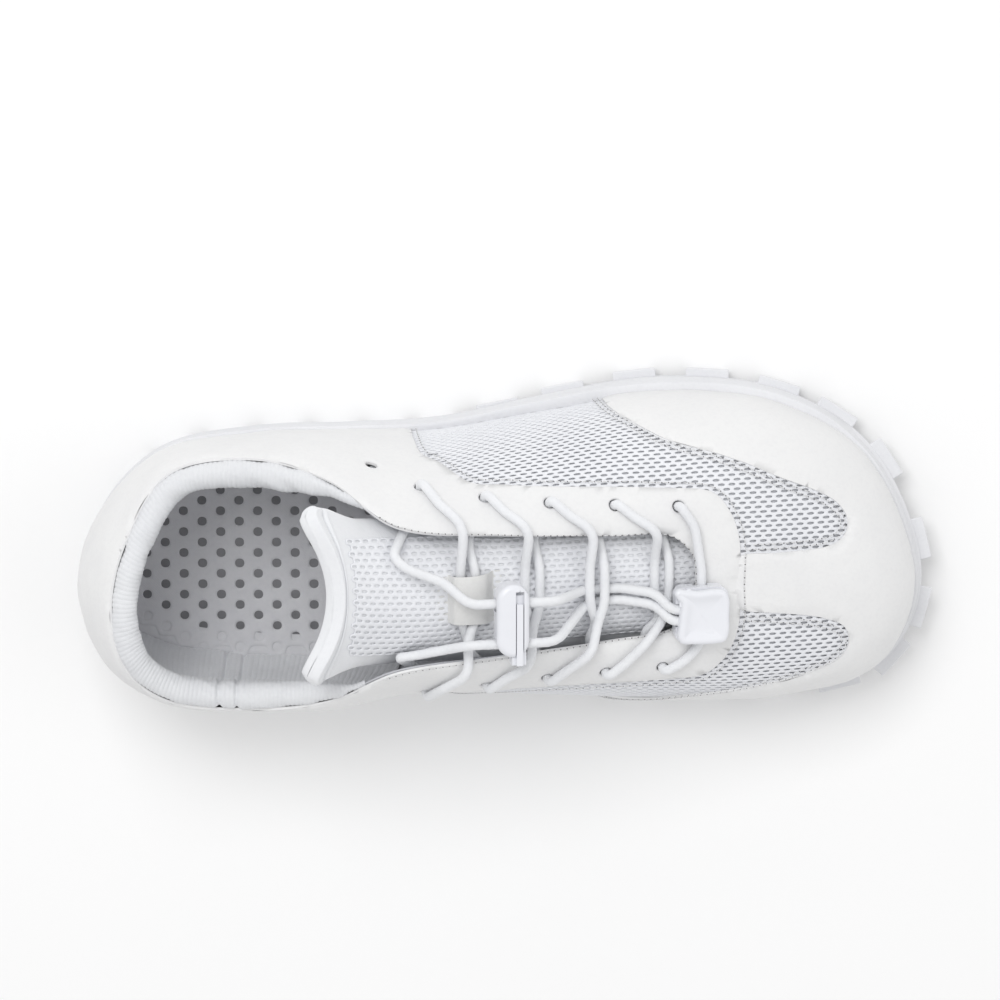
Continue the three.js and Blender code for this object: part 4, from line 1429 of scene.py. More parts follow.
class Chart:
    """Turns places on flat cloth into points in space, by sections across the shoe."""

    X_STEP = 1.0
    AXIS = 15.0

    def __init__(self, offset: float) -> None:
        """Cuts the upper into sections and measures along each.

        Args:
            offset: millimetres outside the upper's face.
        """
        s, t = np.meshgrid(np.linspace(3.6, 16.4, 260), np.linspace(0, 1, 60), indexing="ij")
        points = LAST.at(s.ravel(), t.ravel(), offset)
        tree = BVHTree.FromPolygons([tuple(p) for p in points], grid_faces(260, 60))
        self.x = np.arange(96.0, 270.0, self.X_STEP)
        turns = np.radians(np.arange(-100, 100.1, 1.25))
        rows = []
        for x in self.x:
            reach = []
            for turn in turns:
                way = Vector((0, math.sin(turn), math.cos(turn)))
                hit = tree.ray_cast(Vector((x, 0.5, self.AXIS)), way)
                reach.append(hit[3] if hit[0] else np.nan)
            rows.append(reach)
        reach = np.array(rows)
        known = ~np.isnan(reach)
        self.line, self.length = [], []
        for row, good in zip(reach, known):
            filled = np.interp(turns, turns[good], row[good]) if good.sum() > 3 else np.full_like(turns, 5.0)
            line = np.stack([0.5 + filled * np.sin(turns), self.AXIS + filled * np.cos(turns)], axis=1)
            along = np.concatenate([[0], np.cumsum(np.linalg.norm(np.diff(line, axis=0), axis=1))])
            self.line.append(line)
            self.length.append(along - np.interp(0, turns, along))

    def __call__(self, places: Array) -> Array:
        """Places the cloth.

        Args:
            places: distances along the shoe and across the cloth from its middle.

        Returns:
            Points in millimetres.
        """
        share = np.clip((places[:, 0] - self.x[0]) / self.X_STEP, 0, len(self.x) - 1.001)
        index = np.floor(share).astype(int)
        result = np.zeros((len(places), 3))
        result[:, 0] = places[:, 0]
        for step, weight in ((0, 1 - (share - index)), (1, share - index)):
            for row in np.unique(index + step):
                chosen = np.where(index + step == row)[0]
                for axis in (0, 1):
                    value = np.interp(places[chosen, 1], self.length[row], self.line[row][:, axis])
                    result[chosen, axis + 1] += weight[chosen] * value
        return result


@dataclass
class Region:
    """Where the vamp's mesh shows, and a little beyond under the leather."""

    margin: float = 3.0

    WALL = 40.0

    def __post_init__(self) -> None:
        """Lays out the two leather edges in plan."""
        front = Edge.through(edge_places(QUARTER_FOOT, QUARTER_EDGE), 2.0).points()
        cap = Edge.through(edge_places(CAP_FOOT, CAP_EDGE), 2.0).points()
        self.front, self.cap = front, cap

    def __call__(self, points: Array) -> Array:
        """Tells which points carry mesh.

        Args:
            points: points in millimetres.

        Returns:
            True for each point where a cell is wanted.
        """
        plan = points[:, :2]
        behind = np.vstack([self.front[:, :2], [[60, -60], [60, 60]]])
        ahead = np.vstack([self.cap[:, :2], [[166, -90], [300, -90], [300, 90], [166, 90]]])
        covered = inside(behind, plan) | inside(ahead, plan)
        for side in (1, -1):
            low = (points[:, 2] < self.WALL) & (points[:, 1] * side > 0)
            start, end = (self.foot_line(edge, side) for edge in (self.front, self.cap))
            x, z = points[low, 0], points[low, 2]
            covered[low] = (x < np.interp(z, *start)) | (x > np.interp(z, *end))
        close = near(points, np.vstack([self.front, self.cap])) < self.margin
        return (~covered | close) & (points[:, 2] > PLATE_TOP + 1) & (points[:, 0] < 250)

    def foot_line(self, edge: Array, side: int) -> tuple[Array, Array]:
        """An edge's run up the side wall.

        Args:
            edge: the edge's points.
            side: 1 for the outer side, -1 for the inner.

        Returns:
            Heights, and the distance from the heel at each.
        """
        run = edge[: len(edge) // 2] if side > 0 else edge[len(edge) // 2 :][::-1]
        stop = int(np.argmax(run[:, 2] > self.WALL)) or len(run)
        order = np.argsort(run[:stop, 2])
        return run[:stop][order, 2], run[:stop][order, 0]


@dataclass
class Vamp:
    """The mesh over the forefoot, on a darker lining."""

    def build(self) -> None:
        """Makes the mesh and the cloth under it."""
        chart = Chart(-1.35)
        bag = Lattice().build(chart, Region(), (100.0, -96.0), (250.0, 96.0))
        mesh = add_piece("vamp_knit", bag.all_points(), bag.faces, YARN, sharp=180)
        tidy_normals(mesh, weld=0.25)
        modify(mesh, "SOLIDIFY", thickness=0.55 * MM, offset=0.0)
        modify(mesh, "SUBSURF", levels=1, render_levels=1)
        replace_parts(mesh, "vamp_mesh")
        s, t = np.meshgrid(np.linspace(4.5, 15.5, 240), np.linspace(0.0, 0.985, 70), indexing="ij")
        points = LAST.at(s.ravel(), t.ravel(), -2.3)
        cloth = add_piece("vamp_backing", points, grid_faces(240, 70), MESH_BASE)
        modify(cloth, "SOLIDIFY", thickness=0.6 * MM, offset=0.0)
        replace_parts(cloth, "vamp_lining", "toe_puff", "eyestay_facing")


# ------------------------------------------------------------------ collar
@dataclass
class Collar:
    """The padded collar and heel lining, in a fine ribbed knit."""

    rib: float = 1.5
    relief: float = 0.15
    seams: tuple[float, ...] = (47.0, 52.5)

    def roll_radius(self, s: Array) -> Array:
        """The roll's radius.

        Args:
            s: stations, with 0 at the heel.

        Returns:
            Millimetres.
        """
        return mix(COLLAR_ROLL, 0.6, ease(np.abs(s) / COLLAR_STATION, 0.72, 1.0))

    def section(self, s: Array) -> Array:
        """The collar's cross-sections, from the leather's edge over the roll and down the inside.

        Args:
            s: stations.

        Returns:
            Points, one row for each station.
        """
        radius = self.roll_radius(s)[:, None] + 0.5
        outer = -LEATHER - 0.1
        column = s[:, None]
        lift = 0.8 - 3.0 * ease(np.abs(s) / COLLAR_STATION, 0.9, 1.0)[:, None, None]
        out = LAST.frame_at(column, 1.0)[2]
        up = unit(LAST.point(column, 1.0) - LAST.point(column, 0.96))
        middle = LAST.at(column, 1.0, (outer - radius)) + up * lift
        turns = np.linspace(-0.9, math.pi - 0.2, 22)[None, :, None]
        arc = middle + (out * np.cos(turns) + up * np.sin(turns)) * radius[..., None]
        t = np.linspace(0.95, 0.03, 34)[None, :]
        pad = mix(0.9, 2 * (radius - 0.5), ease(t, 0.46, 0.92)) + 1.2
        wall = LAST.at(*np.broadcast_arrays(column, t), outer - pad - 0.3)
        return np.concatenate([arc, wall], axis=1)

    def build(self) -> None:
        """Makes the knit cover, with its ribs, folds and two inner seams."""
        s = np.linspace(-COLLAR_STATION + 0.06, COLLAR_STATION - 0.06, 1500)
        rows = self.section(s)
        count, columns = rows.shape[:2]
        along = np.concatenate([[0], np.cumsum(np.linalg.norm(np.diff(rows[:, 8], axis=0), axis=1))])
        normal = unit(np.cross(np.gradient(rows, axis=0), np.gradient(rows, axis=1)))
        centre = rows.mean(axis=(0, 1))
        inward = np.sum(normal[:, 40] * (centre - rows[:, 40]), axis=-1).mean() > 0
        normal = normal if inward else -normal
        ribs = self.relief * (np.abs(np.sin(along * math.pi / self.rib)) - 0.5)[:, None]
        folds = 0.35 * ripple(rows, 17) + 0.15 * ripple(rows, 7, 1)
        dents = np.zeros_like(folds)
        for x in self.seams:
            gap = rows[..., 0] - x
            dents -= np.where(s[:, None] < 0, 0.9 * np.exp(-((gap / 0.7) ** 2)), 0)
        height = ribs + folds + dents
        points = rows + normal * height[..., None]
        knit = add_piece("collar_knit", points, grid_faces(count, columns), RIBBED, sharp=180)
        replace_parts(knit, "collar_lining", "collar_foam", "heel_counter")


# ------------------------------------------------------------------ tongue
@dataclass
class Tongue:
    """The padded tongue with its mesh face, smooth sides and bound top, and the tape that keeps the lace."""

    thick: float = 5.6
    bound: float = 0.9
    fold_x: float = 96.0
    spread: float = 2.4

    def __post_init__(self) -> None:
        """Builds the centre line."""
        line = np.array(TONGUE_LINE)
        self.curve = SmoothCurve(line[:, :3], closed=False)
        self.shape = SmoothCurve(np.column_stack([line[:, 3:], 0 * line[:, 0]]), closed=False)

    def point(self, v: Array | float, w: Array | float) -> Array:
        """A point of the face: v runs from the front (0) to the top (1), w from inner (0) to outer (1).

        Args:
            v: places along the tongue.
            w: places across it.

        Returns:
            Points in millimetres.
        """
        v, w = np.broadcast_arrays(np.asarray(v, float), np.asarray(w, float))
        centre, way, shape = self.curve.at(v), self.curve.way(np.clip(v, 0.001, 0.999)), self.shape.at(v)
        half, radius = shape[..., 0] + self.spread * ease(-centre[..., 0], -136, -116), shape[..., 1]
        across = (2 * w - 1) * half
        drop = radius - np.sqrt(np.maximum(radius**2 - across**2, 0.01))
        up = unit(np.stack([-way[..., 2], 0 * v, way[..., 0]], axis=-1))
        up = np.where(up[..., 2:3] < 0, -up, up)
        side = np.abs(2 * w - 1)
        corner = 1 - np.sqrt(1 - np.clip((side - 0.7) / 0.3, 0, 1) ** 2)
        horn = ease(v, 0.8, 1) * (9.0 * side**2 - 5.0 * corner - 4.5)
        sideways = np.stack([0 * across, across, 0 * across], axis=-1)
        return centre + sideways - up * drop[..., None] + way * horn[..., None]

    def at(self, v: Array | float, w: Array | float, offset: Array | float) -> Array:
        """A point at a distance above the face.

        Args:
            v: places along the tongue.
            w: places across it.
            offset: millimetres outward.

        Returns:
            Points in millimetres.
        """
        v, w = np.broadcast_arrays(np.asarray(v, float), np.asarray(w, float))
        v0, w0 = np.clip(v, 0.03, 0.97), np.clip(w, 0.04, 0.96)
        dv = self.point(v0 + 0.004, w0) - self.point(v0 - 0.004, w0)
        dw = self.point(v0, w0 + 0.004) - self.point(v0, w0 - 0.004)
        normal = unit(np.cross(dw, dv))
        normal = np.where(normal[..., 2:3] < 0, -normal, normal)
        return self.point(v, w) + normal * np.asarray(offset)[..., None]

    def height(self, x: float, y: float) -> float:
        """The face's height over a plan point.

        Args:
            x: millimetres from the heel.
            y: millimetres toward the outer side.

        Returns:
            The height in millimetres.
        """
        v = np.linspace(0, 1, 600)
        line = self.curve.at(v)
        place = float(np.interp(-x, -line[:, 0], v))
        centre, half = self.curve.at(place)[1], self.shape.at(place)[0]
        w = float(np.clip((y - centre) / half / 2 + 0.5, 0.02, 0.98))
        return float(self.point(place, w)[2])

    def body(self) -> bpy.types.Object:
        """The padded body, with its binding and the fold behind it.

        Returns:
            The piece.
        """
        v = np.concatenate([np.linspace(0, 0.86, 90), np.linspace(0.865, 1.0, 60)])
        face = np.linspace(0, 1, 44)
        edge = np.linspace(0, math.pi, 9)[1:-1]
        rings = []
        for place in v:
            bulge = 0.5 * np.sin(math.pi * face) ** 0.6
            groove = -0.9 * math.exp(-(((place - self.bound) / 0.006) ** 2))
            ridge = 0.35 * math.exp(-(((place - self.bound + 0.022) / 0.01) ** 2))
            past_edge = float(ease(place, self.bound, self.bound + 0.03))
            puff = 0.5 * past_edge * (1 - float(ease(place, 0.98, 1.0)))
            end = float(ease(place, 0.965, 1.0))
            sink = -self.thick / 2 * (1 - math.sqrt(max(0.0, 1 - end**2)))
            top = self.at(place, face, bulge + groove + ridge + puff + sink)
            low = self.at(place, face, -self.thick - sink * 0.98)
            outer_end = self.side_arc(place, 1.0, edge, sink)
            inner_end = self.side_arc(place, 0.0, edge, sink)[::-1]
            rings.append(np.vstack([top, outer_end, low[::-1], inner_end]))
        points = np.array(rings)
        wave = 0.3 * ripple(points, 21, 3)
        points[..., 2] += wave
        sides = points.shape[1]
        obj = add_piece("tongue_body", points, tube_faces(len(v), sides), TONGUE_KNIT, None, 180)
        tidy_normals(obj)
        return obj

    def side_arc(self, v: float, w: float, turns: Array, sink: float) -> Array:
        """The rounded side of the tongue.

        Args:
            v: the place along the tongue.
            w: 0 for the inner side, 1 for the outer.
            turns: angles from the face round to the back.
            sink: how far the face is lowered there.

        Returns:
            Points in millimetres.
        """
        half = self.thick / 2 + sink * 0.98
        out = unit(self.point(v, w) - self.point(v, abs(w - 0.04)))
        middle = self.at(v, w, -self.thick / 2)
        top = unit(self.at(v, w, 1.0) - self.at(v, w, 0.0))
        return np.array([middle + out * math.sin(a) * half * 0.8 + top * math.cos(a) * half for a in turns])

    def chart(self, places: Array) -> Array:
        """Lays the mesh's cloth on the face.

        Args:
            places: millimetres along and across, from the front of the tongue.

        Returns:
            Points in millimetres.
        """
        v = np.linspace(0, 1, 400)
        line = self.curve.at(v)
        along = np.concatenate([[0], np.cumsum(np.linalg.norm(np.diff(line, axis=0), axis=1))])
        place = np.interp(places[:, 0], along, v)
        half = self.shape.at(place)[:, 0]
        w = np.clip(0.5 + places[:, 1] / half / 2.1, 0.0, 1.0)
        bulge = 0.5 * np.sin(math.pi * np.clip(w, 0, 1)) ** 0.6
        points = self.at(place, w, bulge + 0.28)
        points[:, 2] += 0.3 * ripple(points, 21, 3)
        return points

    def face(self) -> bpy.types.Object:
        """The mesh let into the middle of the face.

        Returns:
            The piece.
        """
        def wanted(points: Array) -> Array:
            """Takes every cell.

            Args:
                points: the cells' middles.

            Returns:
                True for each.
            """
            return np.ones(len(points), bool)

        fabric = Lattice(pitch=(3.0, 1.7), hole=(1.9, 0.7))
        bag = fabric.build(self.chart, wanted, (1.0, -16.4), (120.0, 16.6))
        obj = add_piece("tongue_mesh", bag.all_points(), bag.faces, YARN, None, 180)
        tidy_normals(obj, weld=0.3)
        modify(obj, "SOLIDIFY", thickness=0.5 * MM, offset=0.0)
        modify(obj, "SUBSURF", levels=1, render_levels=1)
        return obj

    def keeper(self) -> bpy.types.Object:
        """The flat woven tape over the top pair of rungs.

        Returns:
            The piece.
        """
        rise = LACE + LAY + 2 * CLEARANCE + 0.4
        bends = [[115, 0.3], [118, 0.5], [120.8, rise], [129.3, rise], [132, 0.5], [134.5, 0.3]]
        line = SmoothCurve(bends, False)
        profile = line.at(np.linspace(0, 1, 50))
        across = np.linspace(-1, 1, 24)
        rows = []
        for x, z in profile:
            half = KEEPER_HALF_WIDTH * (1 + 0.06 * float(ease(x, 124, 134)))
            for high in (0.0, 0.6):
                weave = 0.05 * np.sin(np.arange(24) * 2.4 + x * 5)
                ground = np.array([self.height(x, y * half) for y in across])
                rows.append(np.stack([np.full(24, x), across * half, ground + z + high + weave], axis=1))
        rows = np.array(rows).reshape(50, 2, 24, 3)
        rings = np.concatenate([rows[:, 0], rows[:, 1, ::-1]], axis=1)
        obj = add_piece("keeper_tape_loop", rings, tube_faces(50, 48), TAPE)
        tidy_normals(obj)
        modify(obj, "BEVEL", width=0.12 * MM, segments=2, limit_method="ANGLE")
        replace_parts(obj, "lace_keeper")
        return obj

    def build(self) -> None:
        """Makes the tongue's body and mesh face, fixes their placing, and adds the tape that keeps the lace.
        """
        body, face = self.body(), self.face()
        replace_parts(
            body, "tongue_cover", "tongue_foam", "tongue_lining", "tongue_top_cover", "tongue_top_foam",
            "tongue_top_lining", "tongue_binding",
        )
        for obj in (body, face):
            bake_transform(obj)
        self.keeper()


# ------------------------------------------------------------------ sole
@dataclass
class Sole:
    """The rubber sole with its two-faceted edge band and lugs, and the insole."""

    edge_lugs: int = 34
    row_pitch: float = 17.0

    def overhang(self, x: Array | float) -> Array | float:
        """How far the plate stands out past the feather line.

        Args:
            x: millimetres from the heel.

        Returns:
            Millimetres.
        """
        return mix(1.2, 3.8, ease(x, 0.35 * SHOE_LENGTH, 0.65 * SHOE_LENGTH))

    def reach(self, x: float) -> float:
        """How far the edge lugs stand out past the feather line.

        Args:
            x: millimetres from the heel.

        Returns:
            Millimetres.
        """
        reach = mix(1.6, 6.4, ease(x, 0.35 * SHOE_LENGTH, 0.65 * SHOE_LENGTH))
        return float(reach + TOE_LUG_EXTRA * round_toe(x))

    def plate(self) -> bpy.types.Object:
        """The plate with its raised edge band.

        Returns:
            The piece.
        """
        s = np.arange(0, STATIONS, 0.05)
        x = LAST.curves[0].at(s / STATIONS)[:, 0]
        over, top = self.overhang(x), LAST.rim_top(s)
        rings = [
            LAST.plan_ring(s, over - 1.6, LUG_DEPTH), LAST.plan_ring(s, over - 0.5, LUG_DEPTH + 0.25),
            LAST.plan_ring(s, over, LUG_DEPTH + 1.0), LAST.plan_ring(s, over, LUG_DEPTH + 2.2),
        ]
        thickness = mix(RIM_THICKNESS, TOE_RIM_THICKNESS, round_toe(x))
        wall = CLEARANCE + thickness * mix(0.4, 1, ease(x, 110, 160))
        steps = [(0.2, 1.3), (0.42, 1.15), (0.52, 1.0), (0.56, 0.82), (0.62, 0.6), (0.82, 0.25), (0.96, 0.0)]
        steps += [(1.0, -0.25), (1.02, -0.7)]
        rings += [LAST.at(s, share * top, np.maximum(wall + extra, 0.3)) for share, extra in steps]
        rings += [LAST.at(s, share * top, depth) for share, depth in ((1.02, 0.2), (0.98, -1.3), (0.8, -1.6))]
        points = np.stack(rings, axis=1)
        count, columns = points.shape[:2]
        faces = grid_faces(count, columns, closed=True)
        for i in range(count // 2 - 1):
            a, b, c, d = (k * columns for k in (i, i + 1, count - 2 - i, count - 1 - i))
            faces.append((a, b, c, d))
        points = points + 0.05 * ripple(points, 14)[..., None] * np.array([0.3, 0.3, 1.0])
        return add_piece("sole_plate", points, faces, RUBBER, sharp=28)

    def lug(
        self, bag: MeshBag, x: float, y: float, size: tuple[float, float], turn: float, height: float
    ) -> None:
        """Adds a tapered block.

        Args:
            bag: takes the block.
            x: its middle, from the heel.
            y: its middle, toward the outer side.
            size: its length and width at the plate.
            turn: its direction in radians.
            height: how high it reaches from the ground.
        """
        corners = np.array([[-1, -1], [1, -1], [1, 1], [-1, 1]]) * np.array(size) / 2
        spin = np.array([[math.cos(turn), -math.sin(turn)], [math.sin(turn), math.cos(turn)]])
        rings = []
        for scale, z in ((0.8, 0.0), (0.86, 0.5 * LUG_DEPTH), (1.0, height)):
            flat = corners * scale @ spin.T + np.array([x, y])
            rings.append(np.column_stack([flat, np.full(4, z + toe_spring(x))]))
        bag.add(np.array(rings), tube_faces(3, 4))

    def lugs(self) -> bpy.types.Object:
        """All the lugs.

        Returns:
            The piece.
        """
        bag = MeshBag()
        for k in range(self.edge_lugs):
            u = (k + 0.5) / self.edge_lugs
            place, way = LAST.curves[0].at(u), LAST.curves[0].way(u)
            out = unit(np.array([-way[1], way[0], 0.0]))
            centre = place + out * (self.reach(place[0]) - 5)
            turn = math.atan2(way[1], way[0])
            self.lug(bag, centre[0], centre[1], (14, 10), turn, LUG_DEPTH + 1.6)
        u = np.linspace(0, 1, 900)
        outline = LAST.curves[0].at(u)
        for x in np.arange(26, 244, self.row_pitch):
            close = outline[np.abs(outline[:, 0] - x) < 1.2]
            middle = (close[:, 1].max() + close[:, 1].min()) / 2
            half = (close[:, 1].max() - close[:, 1].min()) / 2 - 9
            row = int(math.floor(x / self.row_pitch + 0.5))
            for side in (-1, 0, 1):
                y = middle + side * half * 0.62
                self.lug(bag, x + (row % 2) * 2, y, (9, half * 0.4), side * 0.35, LUG_DEPTH + 1)
        obj = add_piece("sole_lugs", bag.all_points(), bag.faces, RUBBER, sharp=25)
        tidy_normals(obj)
        modify(obj, "BEVEL", width=0.6 * MM, segments=3, limit_method="ANGLE")
        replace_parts(obj, "outsole")
        return obj

    def insole(self) -> None:
        """The perforated insole, lying on a dark foam."""
        s = np.arange(0, STATIONS, 0.1)
        border = LAST.plan_ring(s, -1.8, INSOLE_TOP)

        def lay(places: Array) -> Array:
            """Lays the cloth on the sole, with its rim turned up a little.

            Args:
                places: plan points in millimetres.

            Returns:
                Points in millimetres.
            """
            z = INSOLE_TOP + toe_spring(places[:, 0])
            cup = 1.6 * np.exp(-near(np.column_stack([places, z]), border) / 4)
            return np.column_stack([places, z + cup - 0.3])

        def within(points: Array) -> Array:
            """Tells which points lie on the insole.

            Args:
                points: points in millimetres.

            Returns:
                Whether each does.
            """
            return inside(border[:, :2], points[:, :2])

        fabric = Lattice(pitch=(5.9, 3.4), hole=(2.8, 2.6))
        bag = self.round_cells(fabric, lay, within)
        obj = add_piece("insole_cloth", bag.all_points(), bag.faces, INSOLE_CLOTH, sharp=180)
        tidy_normals(obj, weld=0.3)
        modify(obj, "SOLIDIFY", thickness=1.6 * MM, offset=-1.0)
        modify(obj, "SUBSURF", levels=1, render_levels=2)
        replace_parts(obj, "insole")
        rings = [lay(LAST.plan_ring(s, offset, INSOLE_TOP)[:, :2]) for offset in (-9.0, -6.0, -3.5, -1.2)]
        edge = np.stack(rings, axis=1) - np.array([0.0, 0.0, 0.5])
        strip = grid_faces(len(s), 4, closed=True)
        border_cloth = add_piece("insole_edge", edge, strip, INSOLE_CLOTH, sharp=180)
        modify(border_cloth, "SOLIDIFY", thickness=1.0 * MM, offset=-1.0)
        below = LAST.plan_ring(s, -1.8, INSOLE_TOP - 2.2)
        half = len(s) // 2
        faces = [(i, i + 1, len(s) - 2 - i, len(s) - 1 - i) for i in range(half - 1)]
        foam = add_piece("insole_foam", below, faces, INSOLE_DARK)
        modify(foam, "SOLIDIFY", thickness=1.5 * MM, offset=-1.0)
        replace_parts(foam, "strobel_board")

    def round_cells(self, fabric: Lattice, lay: "Chart", within: Region) -> MeshBag:
        """The insole's cells, with a gap of one cell between holes in a row so that holes are staggered.

        Args:
            fabric: the sizes.
            lay: gives the place in space of a place on the cloth.
            within: tells where cells are wanted.

        Returns:
            The cells.
        """
        wide = Lattice((fabric.pitch[0], fabric.pitch[1] * 2), fabric.hole)
        columns = np.arange(4.0, 262.0, wide.pitch[0])
        rows = np.arange(-44.0, 54.0, wide.pitch[1])
        u, v = np.meshgrid(columns, rows, indexing="ij")
        v = v + (np.arange(len(columns)) % 2)[:, None] * wide.pitch[1] / 2
        centres = np.stack([u.ravel(), v.ravel()], axis=1)
        centres = centres[within(lay(centres))]
        corners = np.array([[-1, -1], [0, -1], [1, -1], [1, 0], [1, 1], [0, 1], [-1, 1], [-1, 0]])
        outer = corners * np.array(wide.pitch) / 2
        turns = np.arctan2(corners[:, 1], corners[:, 0])
        inner = np.stack([np.cos(turns), np.sin(turns)], axis=1) * np.array(wide.hole) / 2
        cell = np.vstack([outer, inner])
        places = (centres[:, None, :] + cell[None]).reshape(-1, 2)
        ring = [(k, (k + 1) % 8, 8 + (k + 1) % 8, 8 + k) for k in range(8)]
        bag = MeshBag()
        bag.add(lay(places), [tuple(i + 16 * n for i in face) for n in range(len(centres)) for face in ring])
        return bag

    def build(self) -> None:
        """Makes the sole's pieces."""
        self.plate()
        self.lugs()
        self.insole()


# ------------------------------------------------------------------ lace
@dataclass
class Knot:
    """A corner of the lace's route and how tightly it bends there."""

    point: Array
    bend: float = 30.0


@dataclass
class Lace:
    """The elastic lace: its route through the eyelets, the lock and the clip, and its braided cover."""

    tongue: Tongue
    lock_centre: Array = field(default_factory=lambda: np.array([137.5, -5.7, 83.8]))
    clip_centre: Array = field(default_factory=lambda: np.array([196.2, -8.1, 62.6]))
    lock_pitch: float = math.radians(10)
    clip_pitch: float = math.radians(9)
    lifts: tuple[float, ...] = (0, 3.6, 0, 0)
    crossings: tuple[float, ...] = (-11, -11, -11, -13.5)
    strand_radius: float = 1.5

    def tilted(self, centre: Array, pitch: float, place: tuple[float, float, float]) -> Array:
        """A point given in the lock's or the clip's own directions.

        Args:
            centre: the fitting's middle.
            pitch: how far it tips toward the toe.
            place: along, across and above.

        Returns:
            The point.
        """
        x, y, z = place
        c, s = math.cos(pitch), math.sin(pitch)
        return centre + np.array([c * x + s * z, y, c * z - s * x])

    def eyelet(self, side: int, index: int, offset: float) -> Knot:
        """A knot on the axis of a hole.

        Args:
            side: 0 for the outer side, 1 for the inner.
            index: which hole, from the toe.
            offset: millimetres outside the leather.

        Returns:
            The knot.
        """
        x, y = (EYELETS, INNER_EYELETS)[side][index]
        return Knot(LAST.at(*LAST.over_plan(x, y), offset), LACE_BEND)

    def edge(self, side: int, x: float, offset: float) -> Knot:
        """A knot on the throat's edge.

        Args:
            side: 0 for the outer side, 1 for the inner.
            x: millimetres from the heel.
            offset: millimetres outside the leather.

        Returns:
            The knot.
        """
        s, _ = LAST.over_plan(x, 17.5 if side == 0 else -17.5)
        return Knot(LAST.at(s, 0.985, offset), 8)

    def approach(self, side: int, index: int) -> Knot:
        """A knot above the leather just before a hole.

        Args:
            side: 0 for the outer side, 1 for the inner.
            index: which hole, from the toe.

        Returns:
            The knot.
        """
        x, y = (EYELETS, INNER_EYELETS)[side][index]
        return Knot(LAST.at(*LAST.over_plan(x + 5.5, y * 0.84), OVER + 0.2), 6)

    def face(self, x: float, y: float, rise: float) -> Knot:
        """A knot above the tongue.

        Args:
            x: millimetres from the heel.
            y: millimetres toward the outer side.
            rise: extra height.

        Returns:
            The knot.
        """
        return Knot(np.array([x, y, self.tongue.height(x, y) + OVER + LAY + rise]), 12)

    def rung(self, index: int, start_side: int) -> list[Knot]:
        """From under one hole, across the tongue, over the other side and into the next hole.

        Args:
            index: which pair of rungs, from the toe.
            start_side: the side of the first hole.

        Returns:
            The knots.
        """
        end_side = 1 - start_side
        lift, crossing = self.lifts[index], self.crossings[index]
        start = (EYELETS, INNER_EYELETS)[start_side][index][0]
        end = (EYELETS, INNER_EYELETS)[end_side][index + 1][0]
        middle = EYELETS[index + 1][0] + 14.5
        outer = start_side == 0
        shift = 2.3 if outer else -2.3
        across = [
            self.face(middle + shift, 8, lift),
            self.face(middle + shift, crossing + 7.5, lift),
            self.face(middle, crossing, max(4.6 if outer else 0.0, lift * (1.0 if outer else 0.2))),
        ]
        if not outer:
            across.reverse()
        return [
            self.eyelet(start_side, index, UNDER), self.edge(start_side, start - 4.5, UNDER), *across,
            self.edge(end_side, end + 12, OVER + 2), self.approach(end_side, index + 1),
            self.eyelet(end_side, index + 1, OVER + 0.2),
        ]

    def half(self, side: int) -> tuple[list[Knot], int]:
        """Half of the route, from the clip to the front pair of holes.

        Args:
            side: 0 for the strand on the outer side, 1 for the other.

        Returns:
            The knots and the side where they end.
        """
        y, entry = (0.2, 1.8) if side == 0 else (-3.6, -1.8)
        lock_y = 6.3 if side == 0 else -6.3
        knots = [
            Knot(self.tilted(self.clip_centre, self.clip_pitch, (4.05, entry, 0))),
            Knot(self.tilted(self.clip_centre, self.clip_pitch, (-9.75, entry, 0)), 6),
            self.face(182, y - 1.6, 3.9), self.face(171, y, 0.4), self.face(165, y, 0),
            self.face(160, 0.5 if side == 0 else -4.5, 0.6),
            Knot(self.tilted(self.lock_centre, self.lock_pitch, (14, lock_y, 0)), 8),
            Knot(self.tilted(self.lock_centre, self.lock_pitch, (-13, lock_y, 0)), 8),
        ]
        loop = ([101.5, 15, 3], [105.5, 11.5, 4.5], [117, 7.2, 7.5])
        if side == 1:
            loop = ([103, -18, 3], [108, -17.4, 4.5], [118, -14.6, 8])
        knots += [self.face(*place) for place in reversed(loop)]
        knots += [self.edge(side, 104.5, UNDER), self.eyelet(side, 4, UNDER)]
        at = side
        for index in (3, 2, 1, 0):
            knots += list(reversed(self.rung(index, 1 - at)))
            at = 1 - at
        return knots, at

    def knots(self) -> list[Knot]:
        """The whole route from one end to the other.

        Returns:
            The knots.
        """
        first, first_side = self.half(0)
        second, second_side = self.half(1)
        bar = [
            Knot(LAST.at(*LAST.over_plan(x, y), OVER + 0.2), 10)
            for x, y in ((193.5, 18.5), (195.6, 5), (195.6, -18.5), (190.5, -23.5))
        ]
        if first_side == 1:
            bar.reverse()
        ends = [self.eyelet(first_side, 0, OVER + 0.4), *bar, self.eyelet(second_side, 0, OVER + 0.4)]
        return [*first, *ends, *reversed(second)]

